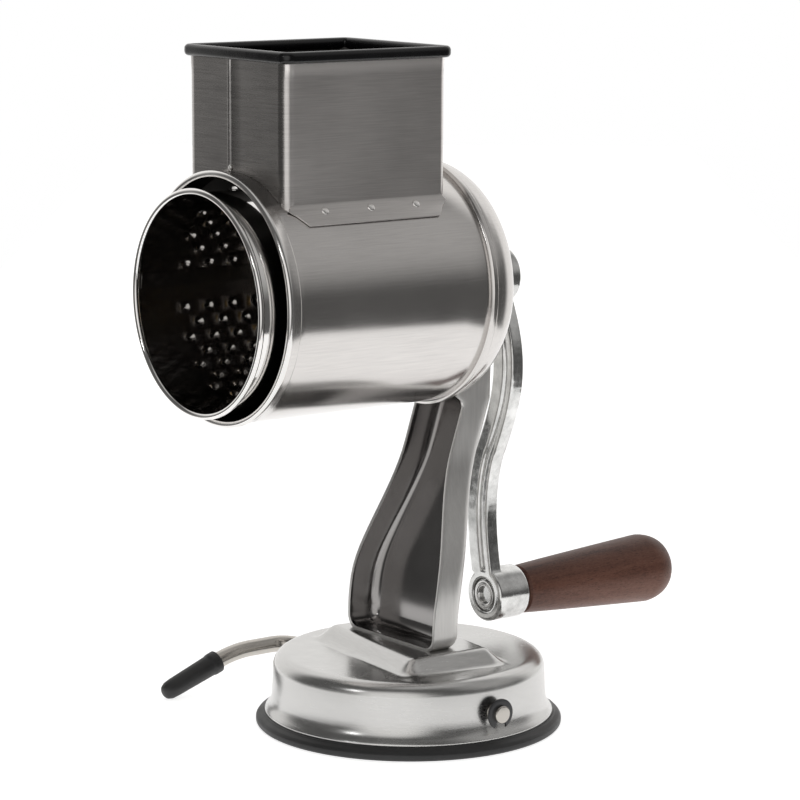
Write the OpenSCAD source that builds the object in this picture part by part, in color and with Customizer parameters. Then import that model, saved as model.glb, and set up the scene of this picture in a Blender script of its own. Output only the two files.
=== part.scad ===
// Rotary cheese grater: a hand-cranked drum in a tubular housing, on a stand with a suction base.
// The origin is the centre of the base on the table, +Z is up, and the drum lies along Y
// with its open mouth towards -Y. All sizes are in millimetres.

/* [Suction base] */
// Diameter of the steel base's upright wall
base_d = 111; // [96:1:135]
// Height of the base's flat top above the table
base_h = 29; // [27:0.5:36]
// Thickness of the pressed sheet steel of the base
base_wall = 1.2; // [0.8:0.1:1.6]
// Outward flare at the foot of the wall
base_flare = 3; // [1.5:0.5:4]
// Radius of the rounded shoulder
shoulder_r = 5; // [3:0.5:6]
// How far the rubber ring stands out beyond the flare
pad_overhang = 3.5; // [2:0.5:5]
// Height of the rubber ring
pad_h = 5; // [4:0.5:6]
// Radial width of the rubber ring
pad_ring_w = 11; // [8:0.5:14]
// Thickness of the rubber membrane
membrane_t = 2; // [1.5:0.25:3]
// Diameter of the rubber core under the lifting plate
core_d = 34; // [28:1:44]
// Length of the raised platform that carries the stand
platform_l = 68; // [62:1:76]
// Width of the raised platform
platform_w = 38; // [34:1:44]
// Height of the platform above the base's top
platform_h = 6; // [4:0.5:8]
// Angle of the platform about the vertical
platform_turn = -7; // [-12:1:0]

/* [Suction lever] */
// Diameter of the lever rod
rod_d = 7; // [6:0.5:8]
// Height of the rod's axis above the table
rod_z = 15.4; // [14.5:0.1:17]
// How far the rod's plain end passes the wall
rod_stick = 5.5; // [4.5:0.5:8]
// Distance from the base's axis to the lever's outer run
lever_x = 85; // [78:1:100]
// Radius of the lever's main bend
lever_bend_r = 9; // [7:0.5:14]
// Angle at which the lever's end slopes down
lever_droop = 20; // [16:1:22]
// Length of the level run between the main bend and the elbow
lever_run = 18.5; // [15:0.5:22]
// Length of rod from the elbow to the mouth of the rubber cap
lever_tail = 9; // [6:0.5:12]
// Length of rod inside the rubber cap
cap_hold = 13; // [10:1:20]
// Length of the rubber cap
cap_l = 29; // [25:1:31]
// Diameter of the rubber cap at its mouth
cap_d = 9.6; // [9:0.2:11]
// Offset of the eccentric that lifts the pad
eccentric = 1.8; // [1.2:0.1:2.2]
// Radius of the eccentric
cam_r = 6.5; // [6.3:0.1:7]
// Width of the eccentric along the rod
cam_w = 9; // [7:0.5:12]
// Angle through which the lever turns
lever_swing = 150; // [120:5:160]

/* [Stand] */
// Half width of the stand at its foot
foot_half = 28.2; // [24:0.2:31]
// Half width of the stand's neck
neck_half = 15; // [12:0.5:18]
// Depth of the stand's channel
channel_depth = 14; // [11:0.5:17]
// Thickness of the stand's sheet steel
stand_wall = 1.5; // [1:0.1:2]
// Forward place of the channel's edge at the foot
foot_front = -9.4; // [-12:0.2:-6]
// Backward lean of the stand, as a run for each unit of height
stand_lean = 0.325; // [0.28:0.005:0.36]

/* [Housing] */
// Outside diameter of the housing tube
tube_d = 96; // [88:1:110]
// Length of the housing tube
tube_l = 96; // [84:1:115]
// Wall of the housing tube
tube_wall = 1; // [0.8:0.1:1.5]
// Height of the tube's axis above the table
tube_z = 180; // [172:1:196]
// Place of the tube's rear edge along Y
tube_rear = 2.5; // [0:0.5:5]
// How far the rear ring stands out beyond the tube
ring_stand = 1.5; // [1:0.25:2.5]
// Width of the rear ring along the axis
ring_w = 3; // [2:0.5:4]
// Depth of the back cap's dome
dome_depth = 20; // [16:0.5:24]
// Radius of the dome's flat centre
dome_flat_r = 21.5; // [18:0.5:26]
// Length of the boss on the dome's centre
dome_boss_l = 3.5; // [2:0.5:4]

/* [Hopper] */
// Inside length of the hopper along the drum
hopper_l = 73.5; // [60:0.5:78]
// Outside width of the hopper across the drum
hopper_w = 66; // [56:1:72]
// Thickness of the hopper's sheet steel
hopper_wall = 1; // [0.8:0.1:1.5]
// Height of the hopper's top above the tube's axis
hopper_rise = 94; // [75:1:115]
// Depth of the flanges that lie on the tube, measured around it
flange_reach = 6; // [4:0.5:9]
// Height of the black edging
rim_h = 4.5; // [3:0.5:8]
// Thickness of the edging outside the sheet
rim_out = 1.3; // [1:0.1:2]

/* [Drum] */
// Outside diameter of the drum's shell
drum_d = 86; // [78:1:90]
// Wall of the drum's shell
drum_wall = 0.8; // [0.6:0.1:1.2]
// Radius of the rolled bead on the drum's mouth
bead_r = 1.5; // [1.2:0.1:2]
// How far the drum's mouth stands in front of the housing
drum_proud = 9.5; // [6:0.5:14]
// How far the drum's axis lies below the tube's axis
drum_drop = 1; // [0:0.25:1.5]
// Gap between the drum's back plate and the dome's inside
drum_back_gap = 4; // [3.5:0.5:6]
// Diameter of the holes in the grating teeth
tooth_hole_d = 2.4; // [1.8:0.2:3]
// Rows of teeth around the drum
tooth_rows = 24; // [12:2:32]
// Distance between teeth along a row
tooth_pitch = 11.2; // [10:0.2:16]
// Plain margin at each end of the shell
tooth_margin = 23; // [18:1:30]

/* [Drive] */
// Diameter of the drive shaft
shaft_d = 10; // [8:0.5:11]
// Width across the flats of the shaft's square end
square_w = 8; // [6:0.5:8.5]
// Diameter of the bearing bush's barrel
bush_d = 15; // [14:0.5:18]
// Diameter of the crank's hub
hub_d = 23; // [19:0.5:26]
// Length of the crank's hub
hub_l = 9.6; // [8:0.2:14]
// Distance from the drive axis to the grip's axis
crank_r = 132.5; // [115:0.5:140]
// Width of the crank's arm
arm_w = 13; // [8:0.5:14]
// Thickness of the crank's arm
arm_t = 6; // [5:0.5:8]
// Sideways swell of the arm near the hub
arm_swell = 11; // [4:0.1:12]
// Sideways swell of the arm near the grip
arm_return = 5; // [3:0.1:9]
// Diameter of the boss that carries the grip
boss_d = 22; // [19:0.5:25]
// Length of the boss
boss_l = 16; // [12:0.5:22]

/* [Grip] */
// Length of the wooden grip
grip_l = 78.5; // [65:0.5:100]
// Diameter of the grip's small end
grip_small_d = 20; // [18:0.5:22]
// Largest diameter of the grip
grip_big_d = 29; // [26:0.5:36]
// Diameter of the hollow spindle
spindle_d = 9; // [8:0.5:10]
// Wall of the hollow spindle
spindle_wall = 0.7; // [0.5:0.1:1]

/* [Clearances] */
// Radial clearance of every turning fit
run_gap = 0.05; // [0.02:0.01:0.1]
// Radial clearance of the drum's loose socket on its square
socket_gap = 0.2; // [0.1:0.05:0.4]
// Clearance of the lifting yoke around the eccentric
yoke_gap = 0.4; // [0.35:0.05:0.6]
// Space between pieces that turn past each other
side_gap = 0.4; // [0.3:0.05:1]

/* [Hidden] */
$fn = 96;

over = 1;
base_r = base_d / 2;
flare_r = base_r + base_flare;
flare_z = pad_h;
flare_h = 4;
pad_r = flare_r + pad_overhang;
membrane_r = pad_r - pad_ring_w;
core_r = core_d / 2;
core_h = membrane_t + 1;
pad_edge = 1;
pad_bevel = 1.5;
plate_margin = 2;
plate_r = core_r - plate_margin;
plate_t = 1.2;
platform_slope = 4;
platform_root = 2;
platform_z = base_h + platform_h;
swing_half = lever_swing / 2;
lift = 2 * eccentric * sin(swing_half);
cam_y = -eccentric * cos(swing_half);
cam_z = rod_z - lift / 2;
yoke_t = 2;
yoke_play = 1;
yoke_w = cam_w - 2 * yoke_play;
clip_t = 1;
clip_d = 12;
clip_out = 3;
clip_lip = 0.6;
clip_x = base_r + clip_out;
elbow_y = lever_bend_r + lever_run;
tail_end = lever_tail + cap_hold;
clip_seat_depth = 0.8;
clip_seat_r = rod_d / 2 - clip_seat_depth;
cap_mouth = 4;
cap_tip_r = 3.6;
cap_round = 3;
cap_taper = 5;

foot_z = platform_z;
spread_top = 112;
spread_low = 55;
foot_bend_top = 68;
foot_bend_low = 40;
foot_corner = 4;
foot_round = 1.2;
face_w = 60;
channel_steps = 24;
channel_gap = 4;
channel_open = 20;
plate_rise = 12;
neck_drop = 2;
ring_seat_angle = 52;
gusset_r = 0.8;
gusset_t = 1;
gusset_root = 20;
channel_top = tube_z - tube_d / 2;
lean_start = foot_front + stand_lean * (foot_bend_top - foot_bend_low) / 2;
plate_back = tube_rear + ring_w + dome_depth + dome_boss_l + stand_wall;

tube_r = tube_d / 2;
tube_front = tube_rear - tube_l;
ring_r = tube_r + ring_stand;
dome_y = tube_rear + ring_w;
dome_back = dome_y + dome_depth;
dome_end = dome_back + dome_boss_l;
cap_wall = 1.2;
cap_seat = 0.5;
dome_r = tube_r - cap_seat;
ring_round = 0.8;
lip_r = 1.4;
lip_inset = 0.2;
boss_flat_r = 14;

hopper_y = tube_front + tube_l / 2;
hopper_out_l = hopper_l + 2 * hopper_wall;
hopper_top = tube_z + hopper_rise;
fold_angle = asin(hopper_w / 2 / tube_r);
flange_angle = flange_reach / tube_r * 180 / PI;
flange_chamfer = 7;
rim_in = 1;
rim_top = hopper_top + rim_in;

axis_z = tube_z - drum_drop;
drum_r = drum_d / 2;
drum_front = tube_front - drum_proud;
drum_inset = 10;
drum_back_y = dome_back - cap_wall - drum_back_gap - drum_inset;
drum_back_t = 1;
drum_l = drum_back_y - drum_front;
socket_w = square_w + 2 * socket_gap;
socket_r = 10;
socket_flange_r = 15;
socket_l = 11;
rivet_ring_r = 12.5;
rivet_r = 1.2;
rivet_head = 0.8;
socket_t = 2;
socket_floor = 2;
punch = 6;

shaft_r = shaft_d / 2;
bush_r = bush_d / 2;
bush_flange_w = 3;
bush_flange_r = bush_r + bush_flange_w;
bush_flange_t = 1.5;
bush_front = dome_back + dome_boss_l - cap_wall - bush_flange_t;
lock_t = 1;
lock_w = 3.2;
nut_y = plate_back + lock_t;
nut_t = 5;
nut_w = 4.2;
bush_end = 1;
bush_rear = nut_y + nut_t + bush_end;
thrust_t = 0.8;
arm_front = bush_rear + thrust_t + side_gap;
shaft_front = drum_back_y - socket_l + 1;
shaft_collar = 2;
hub_square = square_w - 1;
hub_square_l = hub_l - 1.5;
screw_r = 2.5;
screw_l = 7;
screw_tip_gap = 1;
screw_head_w = 1.9;
screw_seat_w = 2;
screw_head_t = 1.8;
screw_seat_t = 1;
boss_back = arm_front + boss_l;
grip_z = axis_z - crank_r;
spindle_r = spindle_d / 2;
spindle_bore = spindle_r - spindle_wall;
washer_t = 0.8;
washer_inset = 1.5;
rivet_over = 1.4;
rivet_seat = 1.5;
rivet_t = 1;
rivet_sunk = 0.2;
grip_start = boss_back + washer_t + 2 * side_gap;
grip_end = grip_start + grip_l;
spindle_hold = 52;
spindle_end = grip_start + spindle_hold;
collar_l = 5;
collar_w = 1.6;
butt_l = 15;
grip_edge = 1;
butt_flat = 0.45;
swell_early = 0.55;
arm_groove = 0.7;
arm_groove_w = 1;
arm_cross = 0.545;
arm_lean = 0.8;
arm_steps = 30;

// A solid of revolution about the Y axis at height z. Its profile holds [radius, y] points.
module turned(z, points) {
    translate([0, 0, z]) rotate([90, 0, 0]) rotate_extrude() polygon([for (p = points) [p[0], -p[1]]]);
}

// A cylinder along Y from y0 to y1 at height z.
module rod_y(r, y0, y1, z) {
    translate([0, y1, z]) rotate([90, 0, 0]) cylinder(r = r, h = y1 - y0);
}

// A cylinder along X from x0 to x1 at the rod's height.
module rod_x(r, x0, x1) {
    translate([x0, 0, rod_z]) rotate([0, 90, 0]) cylinder(r = r, h = x1 - x0);
}

// Eases from 0 to 1 as t goes from 0 to 1.
function ease(t) = let (u = max(0, min(1, t))) u * u * (3 - 2 * u);

// Half width of the stand at height z.
function stand_half(z) =
    neck_half + (foot_half - neck_half) * ease((spread_top - z) / (spread_top - spread_low));

// Front edge of the stand's channel at height z.
function stand_front(z) =
    z > foot_bend_top ? lean_start + stand_lean * (z - foot_bend_top)
    : z > foot_bend_low
        ? foot_front + stand_lean * pow(z - foot_bend_low, 2) / (foot_bend_top - foot_bend_low) / 2
        : foot_front;

// Sideways place of the arm's centre line, where s runs from 0 at the hub to 1 at the boss.
function arm_x(s) =
    s < arm_cross ? arm_swell * sin(180 * s / arm_cross)
    : -arm_return * sin(180 * pow((s - arm_cross) / (1 - arm_cross), arm_lean));

// Outer profile of the dome, from its rim to its flat.
function dome_profile() =
    [for (a = [0 : 9 : 90]) [dome_flat_r + (dome_r - dome_flat_r) * cos(a), dome_y + dome_depth * sin(a)]];

module pad_ring() {
    color("#1c1c1c") rotate_extrude() polygon([
        [membrane_r, 0], [pad_r - pad_edge, 0], [pad_r, pad_edge], [pad_r, pad_h - pad_edge - pad_bevel],
        [pad_r - pad_bevel, pad_h - pad_edge], [flare_r + pad_edge / 2, pad_h], [membrane_r, pad_h]]);
}

module pad_membrane() {
    color("#222222") rotate_extrude() polygon([
        [core_r, 0], [membrane_r, 0], [membrane_r, membrane_t], [core_r, core_h]]);
}

module pad_core() {
    color("#222222") cylinder(r = core_r, h = core_h);
}

module lift_plate() {
    color("#b9bcbd") translate([0, 0, core_h]) cylinder(r = plate_r, h = plate_t);
}

// The yoke is a frame whose window holds the eccentric: close above and below, free to the sides.
module lift_yoke() {
    window_h = 2 * (cam_r + yoke_gap);
    window_w = 2 * (cam_r + eccentric + yoke_play);
    low = core_h + plate_t;
    color("#a9acad") difference() {
        translate([-yoke_w / 2, -window_w / 2 - yoke_t, low])
            cube([yoke_w, window_w + 2 * yoke_t, cam_z + window_h / 2 + yoke_t - low]);
        translate([-yoke_w / 2 - over, -window_w / 2, cam_z - window_h / 2])
            cube([yoke_w + 2 * over, window_w, window_h]);
    }
}

// Half outline of the base shell, inset by t.
function base_outline(t) = concat(
    [[0, flare_z], [flare_r - t, flare_z], [flare_r - t, flare_z + 0.8 * base_wall]],
    [[base_r - t, flare_z + flare_h], [base_r - t, base_h - shoulder_r]],
    [for (a = [10 : 10 : 90])
        [base_r - shoulder_r + (shoulder_r - t) * cos(a), base_h - shoulder_r + (shoulder_r - t) * sin(a)]],
    [[0, base_h - t]]);

module platform(t) {
    rotate([0, 0, platform_turn]) hull() {
        translate([0, 0, base_h - t - platform_root])
            linear_extrude(over) square([platform_l + 2 * platform_slope - 2 * t,
                                      platform_w + 2 * platform_slope - 2 * t], center = true);
        translate([0, 0, platform_z - t - over])
            linear_extrude(over) square([platform_l - 2 * t, platform_w - 2 * t], center = true);
    }
}

module base_dome() {
    color("#c3c4c4") difference() {
        union() {
            rotate_extrude() polygon(base_outline(0));
            platform(0);
        }
        rotate_extrude()
            polygon([for (p = base_outline(base_wall)) [p[0], p[1] - (p[1] == flare_z ? over : 0)]]);
        platform(base_wall);
        rod_x(rod_d / 2 + run_gap, -base_r - 2 * over, base_r + 2 * over);
    }
}

// A frame on the lever's elbow, turned down by angle a, with +Z pointing along the lever.
module at_elbow(a) {
    translate([-lever_x, -elbow_y, rod_z]) rotate([90 + a, 0, 0]) children();
}

// A block on one side of the elbow's mitre, from z to z + length in the elbow's frame.
module mitre_side(z, length) {
    translate([-rod_d, -rod_d, z]) cube([2 * rod_d, 2 * rod_d, length]);
}

// The rod runs through the base, bends forwards, and is mitred down at the elbow.
module lever_rod() {
    reach = 2 * elbow_y;
    color("#c9c6c0") difference() {
        union() {
            rod_x(rod_d / 2, -lever_x + lever_bend_r, base_r + rod_stick);
            translate([-lever_x + lever_bend_r, -lever_bend_r, rod_z]) rotate([0, 0, 90])
                rotate_extrude(angle = 90) translate([lever_bend_r, 0]) circle(d = rod_d);
            intersection() {
                translate([-lever_x, -lever_bend_r, rod_z]) rotate([90, 0, 0])
                    cylinder(d = rod_d, h = reach);
                at_elbow(lever_droop / 2) mitre_side(-reach, reach);
            }
            intersection() {
                at_elbow(lever_droop) translate([0, 0, -rod_d]) cylinder(d = rod_d, h = rod_d + tail_end);
                at_elbow(lever_droop / 2) mitre_side(0, 2 * tail_end);
            }
        }
        translate([clip_x, 0, rod_z]) rotate([0, 90, 0]) difference() {
            cylinder(r = rod_d, h = clip_t);
            translate([0, 0, -over]) cylinder(r = clip_seat_r, h = clip_t + 2 * over);
        }
    }
}

module lever_cam() {
    color("#9a9c9c") difference() {
        translate([-cam_w / 2, cam_y, cam_z]) rotate([0, 90, 0]) cylinder(r = cam_r, h = cam_w);
        rod_x(rod_d / 2, -cam_w, cam_w);
    }
}

module lever_clip() {
    color("#2a2a2a") translate([clip_x, 0, rod_z]) rotate([0, 90, 0]) difference() {
        cylinder(d = clip_d, h = clip_t);
        translate([0, 0, -over]) cylinder(r = clip_seat_r, h = clip_t + 2 * over);
        translate([0, -clip_seat_r + clip_lip, -over])
            cube([clip_d, 2 * (clip_seat_r - clip_lip), clip_t + 2 * over]);
    }
}

module lever_cap() {
    color("#1b1b1b") at_elbow(lever_droop) translate([0, 0, lever_tail]) difference() {
        rotate_extrude() polygon(concat(
            [[0, 0], [cap_d / 2, 0], [cap_d / 2, cap_mouth]],
            [[cap_tip_r + 0.1 * cap_round, cap_l - cap_taper]],
            [for (a = [0 : 15 : 90])
                [cap_tip_r - cap_round * (1 - cos(a)), cap_l - cap_round * (1 - sin(a))]],
            [[0, cap_l]]));
        translate([0, 0, -over]) cylinder(d = rod_d, h = cap_hold + over);
    }
}

// Front outline of the stand in X and Z, inset by t.
module stand_face(t, low) {
    start = low + foot_corner;
    rise = channel_top + foot_corner - start;
    heights = [for (k = [0 : channel_steps]) start + rise * k / channel_steps];
    right = concat([[foot_half - foot_corner - t, low], [foot_half - foot_round - t, low + foot_round]],
                   [for (z = heights) [stand_half(z) - t, z]],
                   [for (a = [0 : 10 : 80]) [(neck_half - t) * cos(a), axis_z + (neck_half - t) * sin(a)]]);
    left = [for (k = [len(right) - 1 : -1 : 0]) [-right[k][0], right[k][1]]];
    translate([0, face_w, 0]) rotate([90, 0, 0]) linear_extrude(2 * face_w) polygon(concat(right, left));
}

// Side outline of the stand in Y and Z. With t above zero it is the hollow of the channel.
module stand_side(t) {
    steps = channel_steps;
    heights = [for (k = [0 : steps]) foot_z + (channel_top - channel_gap - foot_z) * k / steps];
    reach = t > 0 ? channel_open : 0;
    front = [for (z = heights) [stand_front(z) - reach, z]];
    back = [for (k = [steps : -1 : 0])
        [min(stand_front(heights[k]) + channel_depth, plate_back) - t, heights[k]]];
    hollow_top = channel_top + 2 * channel_open;
    lintel = t > 0 ? [[front[steps][0], hollow_top], [plate_back - t, hollow_top]]
                   : [[front[steps][0] - 1, channel_top - neck_drop], [dome_y, channel_top],
                      [dome_y, tube_z - ring_r * cos(ring_seat_angle)],
                      [plate_back - stand_wall, tube_z + dome_r], [plate_back, tube_z + dome_r]];
    translate([-face_w, 0, 0]) rotate([90, 0, 90]) linear_extrude(2 * face_w)
        polygon(concat(front, lintel, [[plate_back - t, channel_top + plate_rise]], back));
}

// Gusset that spreads the stand's neck out to the rear ring, on the side given by s.
module stand_gusset(s) {
    edge_r = ring_r - gusset_t;
    root_y = dome_y + dome_depth / 2;
    hull() {
        for (a = [24, 38, 50])
            translate([s * edge_r * sin(a), dome_y + gusset_t, tube_z - edge_r * cos(a)])
                rotate([90, 0, 0]) cylinder(r = gusset_r, h = gusset_t, $fn = 24);
        translate([s * neck_half - (s > 0 ? stand_wall : 0), root_y, channel_top - channel_gap])
            cube([stand_wall, plate_back - neck_drop - root_y, gusset_root]);
    }
}

module stand() {
    color("#a7a8a8") difference() {
        union() {
            difference() {
                intersection() {
                    stand_face(0, foot_z);
                    stand_side(0);
                }
                intersection() {
                    stand_face(stand_wall, foot_z + stand_wall);
                    stand_side(stand_wall);
                }
            }
            stand_gusset(1);
            stand_gusset(-1);
        }
        cap_envelope();
        rod_y(bush_r, plate_back - stand_wall - over, plate_back + over, axis_z);
    }
}

// Everything the back cap fills, used to clear the stand's sheet from it.
module cap_envelope() {
    turned(tube_z, concat([[0, tube_rear - ring_r], [ring_r, tube_rear - ring_r], [ring_r, dome_y]],
                          dome_profile(),
                          [[boss_flat_r, dome_back], [boss_flat_r, dome_end], [0, dome_end]]));
}

module back_cap() {
    inner_r = dome_r - cap_wall;
    inner = [for (a = [90 : -9 : 0])
        [dome_flat_r + (inner_r - dome_flat_r) * cos(a), dome_y + (dome_depth - cap_wall) * sin(a)]];
    color("#bfc0c0") difference() {
        turned(tube_z, concat(
            [[ring_r - ring_round, tube_rear], [ring_r, tube_rear + ring_round],
             [ring_r, dome_y - ring_round], [ring_r - ring_round, dome_y]],
            dome_profile(),
            [[boss_flat_r, dome_back], [boss_flat_r, dome_end], [0, dome_end],
             [0, dome_end - cap_wall], [boss_flat_r - cap_wall, dome_end - cap_wall],
             [boss_flat_r - cap_wall, dome_back - cap_wall]],
            inner, [[inner_r, tube_rear]]));
        rod_y(bush_r, dome_back - cap_wall - over, dome_end + over, axis_z);
    }
}

module housing_tube() {
    color("#b4b4b3") difference() {
        union() {
            turned(tube_z, [[tube_r - tube_wall, tube_front], [tube_r, tube_front], [tube_r, tube_rear],
                            [tube_r - tube_wall, tube_rear]]);
            translate([0, tube_front + lip_r, tube_z]) rotate([90, 0, 0])
                rotate_extrude() translate([tube_r - lip_inset, 0]) circle(r = lip_r, $fn = 32);
        }
        translate([-hopper_w / 2 + hopper_wall, hopper_y - hopper_l / 2, tube_z])
            cube([hopper_w - 2 * hopper_wall, hopper_l, tube_r + lip_r + over]);
    }
}

// Upright walls of the hopper, with flanges that lie on the tube along its long sides.
module hopper() {
    color("#8f8e8c") {
        difference() {
            translate([-hopper_w / 2, hopper_y - hopper_out_l / 2, tube_z])
                cube([hopper_w, hopper_out_l, hopper_rise]);
            translate([-hopper_w / 2 + hopper_wall, hopper_y - hopper_l / 2, tube_z - over])
                cube([hopper_w - 2 * hopper_wall, hopper_l, hopper_rise + 2 * over]);
            rod_y(tube_r, tube_front - over, tube_rear + over, tube_z);
        }
        for (side = [0, 1]) mirror([side, 0, 0]) flange();
    }
}

// One flange: a strip of the tube's own curvature with its lower corners cut off.
module flange() {
    front = hopper_y - hopper_out_l / 2;
    back = hopper_y + hopper_out_l / 2;
    fold_z = tube_z + tube_r * cos(fold_angle);
    edge_z = tube_z + tube_r * cos(fold_angle + flange_angle);
    intersection() {
        difference() {
            rod_y(tube_r + hopper_wall, front, back, tube_z);
            rod_y(tube_r, tube_front, tube_rear, tube_z);
        }
        translate([hopper_w / 2 - hopper_wall, 0, 0]) rotate([90, 0, 90]) linear_extrude(tube_r) polygon([
            [front, tube_z + tube_r], [front, fold_z], [front + flange_chamfer, edge_z],
            [back - flange_chamfer, edge_z], [back, fold_z], [back, tube_z + tube_r]]);
    }
}

module rim_block(grow, low, high) {
    translate([-hopper_w / 2 - grow, hopper_y - hopper_out_l / 2 - grow, low])
        cube([hopper_w + 2 * grow, hopper_out_l + 2 * grow, high - low]);
}

module hopper_rim() {
    color("#161616") difference() {
        rim_block(rim_out, rim_top - rim_h, rim_top);
        rim_block(-hopper_wall - rim_in, rim_top - rim_h - over, rim_top + over);
        difference() {
            rim_block(0, rim_top - rim_h - over, hopper_top);
            rim_block(-hopper_wall, rim_top - rim_h - 2 * over, hopper_top + over);
        }
    }
}

module bearing_bush() {
    color("#b08d57") difference() {
        union() {
            rod_y(bush_flange_r, bush_front, bush_front + bush_flange_t, axis_z);
            rod_y(bush_r, bush_front, bush_rear, axis_z);
        }
        rod_y(shaft_r + run_gap, bush_front - over, bush_rear + over, axis_z);
    }
}

module lock_washer() {
    color("#9fa1a2") difference() {
        rod_y(bush_r + lock_w, plate_back, nut_y, axis_z);
        rod_y(bush_r, plate_back - over, nut_y + over, axis_z);
    }
}

module bearing_nut() {
    color("#a9abac") difference() {
        translate([0, nut_y + nut_t, axis_z]) rotate([90, 0, 0])
            cylinder(r = bush_r + nut_w, h = nut_t, $fn = 6);
        rod_y(bush_r, nut_y - over, nut_y + nut_t + over, axis_z);
    }
}

// The square on the drive axis by which the shaft turns the hub.
module hub_square_block(y, length) {
    translate([-hub_square / 2, y, axis_z - hub_square / 2]) cube([hub_square, length, hub_square]);
}

// The shaft is round in the bush, square in the drum's socket and in the crank's hub.
module drive_shaft() {
    collar_y = bush_front - side_gap - shaft_collar;
    color("#c4c5c6") difference() {
        union() {
            translate([-square_w / 2, shaft_front, axis_z - square_w / 2])
                cube([square_w, collar_y - shaft_front, square_w]);
            rod_y(shaft_r + shaft_collar, collar_y, collar_y + shaft_collar, axis_z);
            rod_y(shaft_r, collar_y, arm_front, axis_z);
            hub_square_block(arm_front - over, over + hub_square_l);
        }
        rod_y(screw_r, arm_front - screw_l - screw_tip_gap, arm_front + hub_l + over, axis_z);
    }
}

module thrust_washer() {
    color("#d8d4c8") difference() {
        rod_y(bush_r + lock_t, arm_front - thrust_t, arm_front, axis_z);
        rod_y(shaft_r, arm_front - thrust_t - over, arm_front + over, axis_z);
    }
}

// Outline of the arm in X and Z, narrowed by t on each side.
module arm_outline(t) {
    side = [for (k = [0 : arm_steps]) [arm_x(k / arm_steps), axis_z - crank_r * k / arm_steps]];
    polygon(concat([for (p = side) [p[0] + arm_w / 2 - t, p[1]]],
                   [for (k = [arm_steps : -1 : 0]) [side[k][0] - arm_w / 2 + t, side[k][1]]]));
}

// One long groove in a face of the arm. It runs from y0 to y1 and stops short of hub and boss.
module arm_groove_cut(y0, y1) {
    difference() {
        translate([0, y1, 0]) rotate([90, 0, 0])
            linear_extrude(y1 - y0) arm_outline(arm_w / 2 - arm_groove_w);
        rod_y(hub_d / 2 + arm_groove_w, y0 - over, y1 + over, axis_z);
        rod_y(boss_d / 2 + arm_groove_w, y0 - over, y1 + over, grip_z);
    }
}

module crank_arm() {
    color("#b9b9b7") difference() {
        union() {
            rod_y(hub_d / 2, arm_front, arm_front + hub_l, axis_z);
            translate([0, arm_front + arm_t, 0]) rotate([90, 0, 0]) linear_extrude(arm_t) arm_outline(0);
            rod_y(boss_d / 2, arm_front, boss_back, grip_z);
        }
        arm_groove_cut(arm_front - over, arm_front + arm_groove);
        arm_groove_cut(arm_front + arm_t - arm_groove, arm_front + arm_t + over);
        hub_square_block(arm_front - over, over + hub_square_l);
        rod_y(screw_r, arm_front, arm_front + hub_l + over, axis_z);
        rod_y(screw_r + screw_seat_w, arm_front + hub_l - screw_seat_t, arm_front + hub_l + over, axis_z);
        rod_y(spindle_r, arm_front - over, boss_back + over, grip_z);
        rod_y(spindle_r + rivet_seat, arm_front - over, arm_front + rivet_t, grip_z);
    }
}

module crank_screw() {
    screw_seat = arm_front + hub_l - screw_seat_t;
    color("#8d8f90") {
        rod_y(screw_r, arm_front - screw_l, arm_front + hub_l, axis_z);
        rod_y(screw_r + screw_head_w, screw_seat, screw_seat + screw_head_t, axis_z);
    }
}

module grip_spindle() {
    color("#bcbdbd") difference() {
        union() {
            rod_y(spindle_r, arm_front + rivet_sunk, spindle_end, grip_z);
            rod_y(spindle_r + rivet_over, arm_front + rivet_sunk, arm_front + rivet_t, grip_z);
        }
        rod_y(spindle_bore, arm_front - over, spindle_end + over, grip_z);
    }
}

module grip_washer() {
    color("#a5a6a6") difference() {
        rod_y(grip_small_d / 2 - washer_inset, boss_back, boss_back + washer_t, grip_z);
        rod_y(spindle_r, boss_back - over, boss_back + washer_t + over, grip_z);
    }
}

// A collar pressed on the spindle inside the grip keeps the grip from sliding off.
module grip_collar() {
    color("#9b9d9e") difference() {
        rod_y(spindle_r + collar_w, spindle_end - collar_l, spindle_end, grip_z);
        rod_y(spindle_r, spindle_end - collar_l - over, spindle_end + over, grip_z);
    }
}

// Outline of the grip: a long swelling taper that ends in a rounded butt.
module wood_grip() {
    taper = grip_l - butt_l;
    small = grip_small_d / 2;
    big = grip_big_d / 2;
    swell = [for (k = [0 : 0.125 : 1])
        [small + (big - small) * sin(90 * k) * (swell_early + (1 - swell_early) * k),
         grip_start + grip_edge + (taper - grip_edge) * k]];
    round_end = [for (a = [10 : 10 : 80])
        [big * (butt_flat + (1 - butt_flat) * cos(a)), grip_start + taper + butt_l * sin(a)]];
    color("#5a2b20") difference() {
        turned(grip_z, concat([[0, grip_start], [small - grip_edge, grip_start]], swell, round_end,
                              [[big * butt_flat, grip_end], [0, grip_end]]));
        rod_y(spindle_r + run_gap, grip_start - over, spindle_end + 2 * over, grip_z);
        rod_y(spindle_r + collar_w + side_gap, spindle_end - collar_l - side_gap,
              spindle_end + over, grip_z);
    }
}

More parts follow.
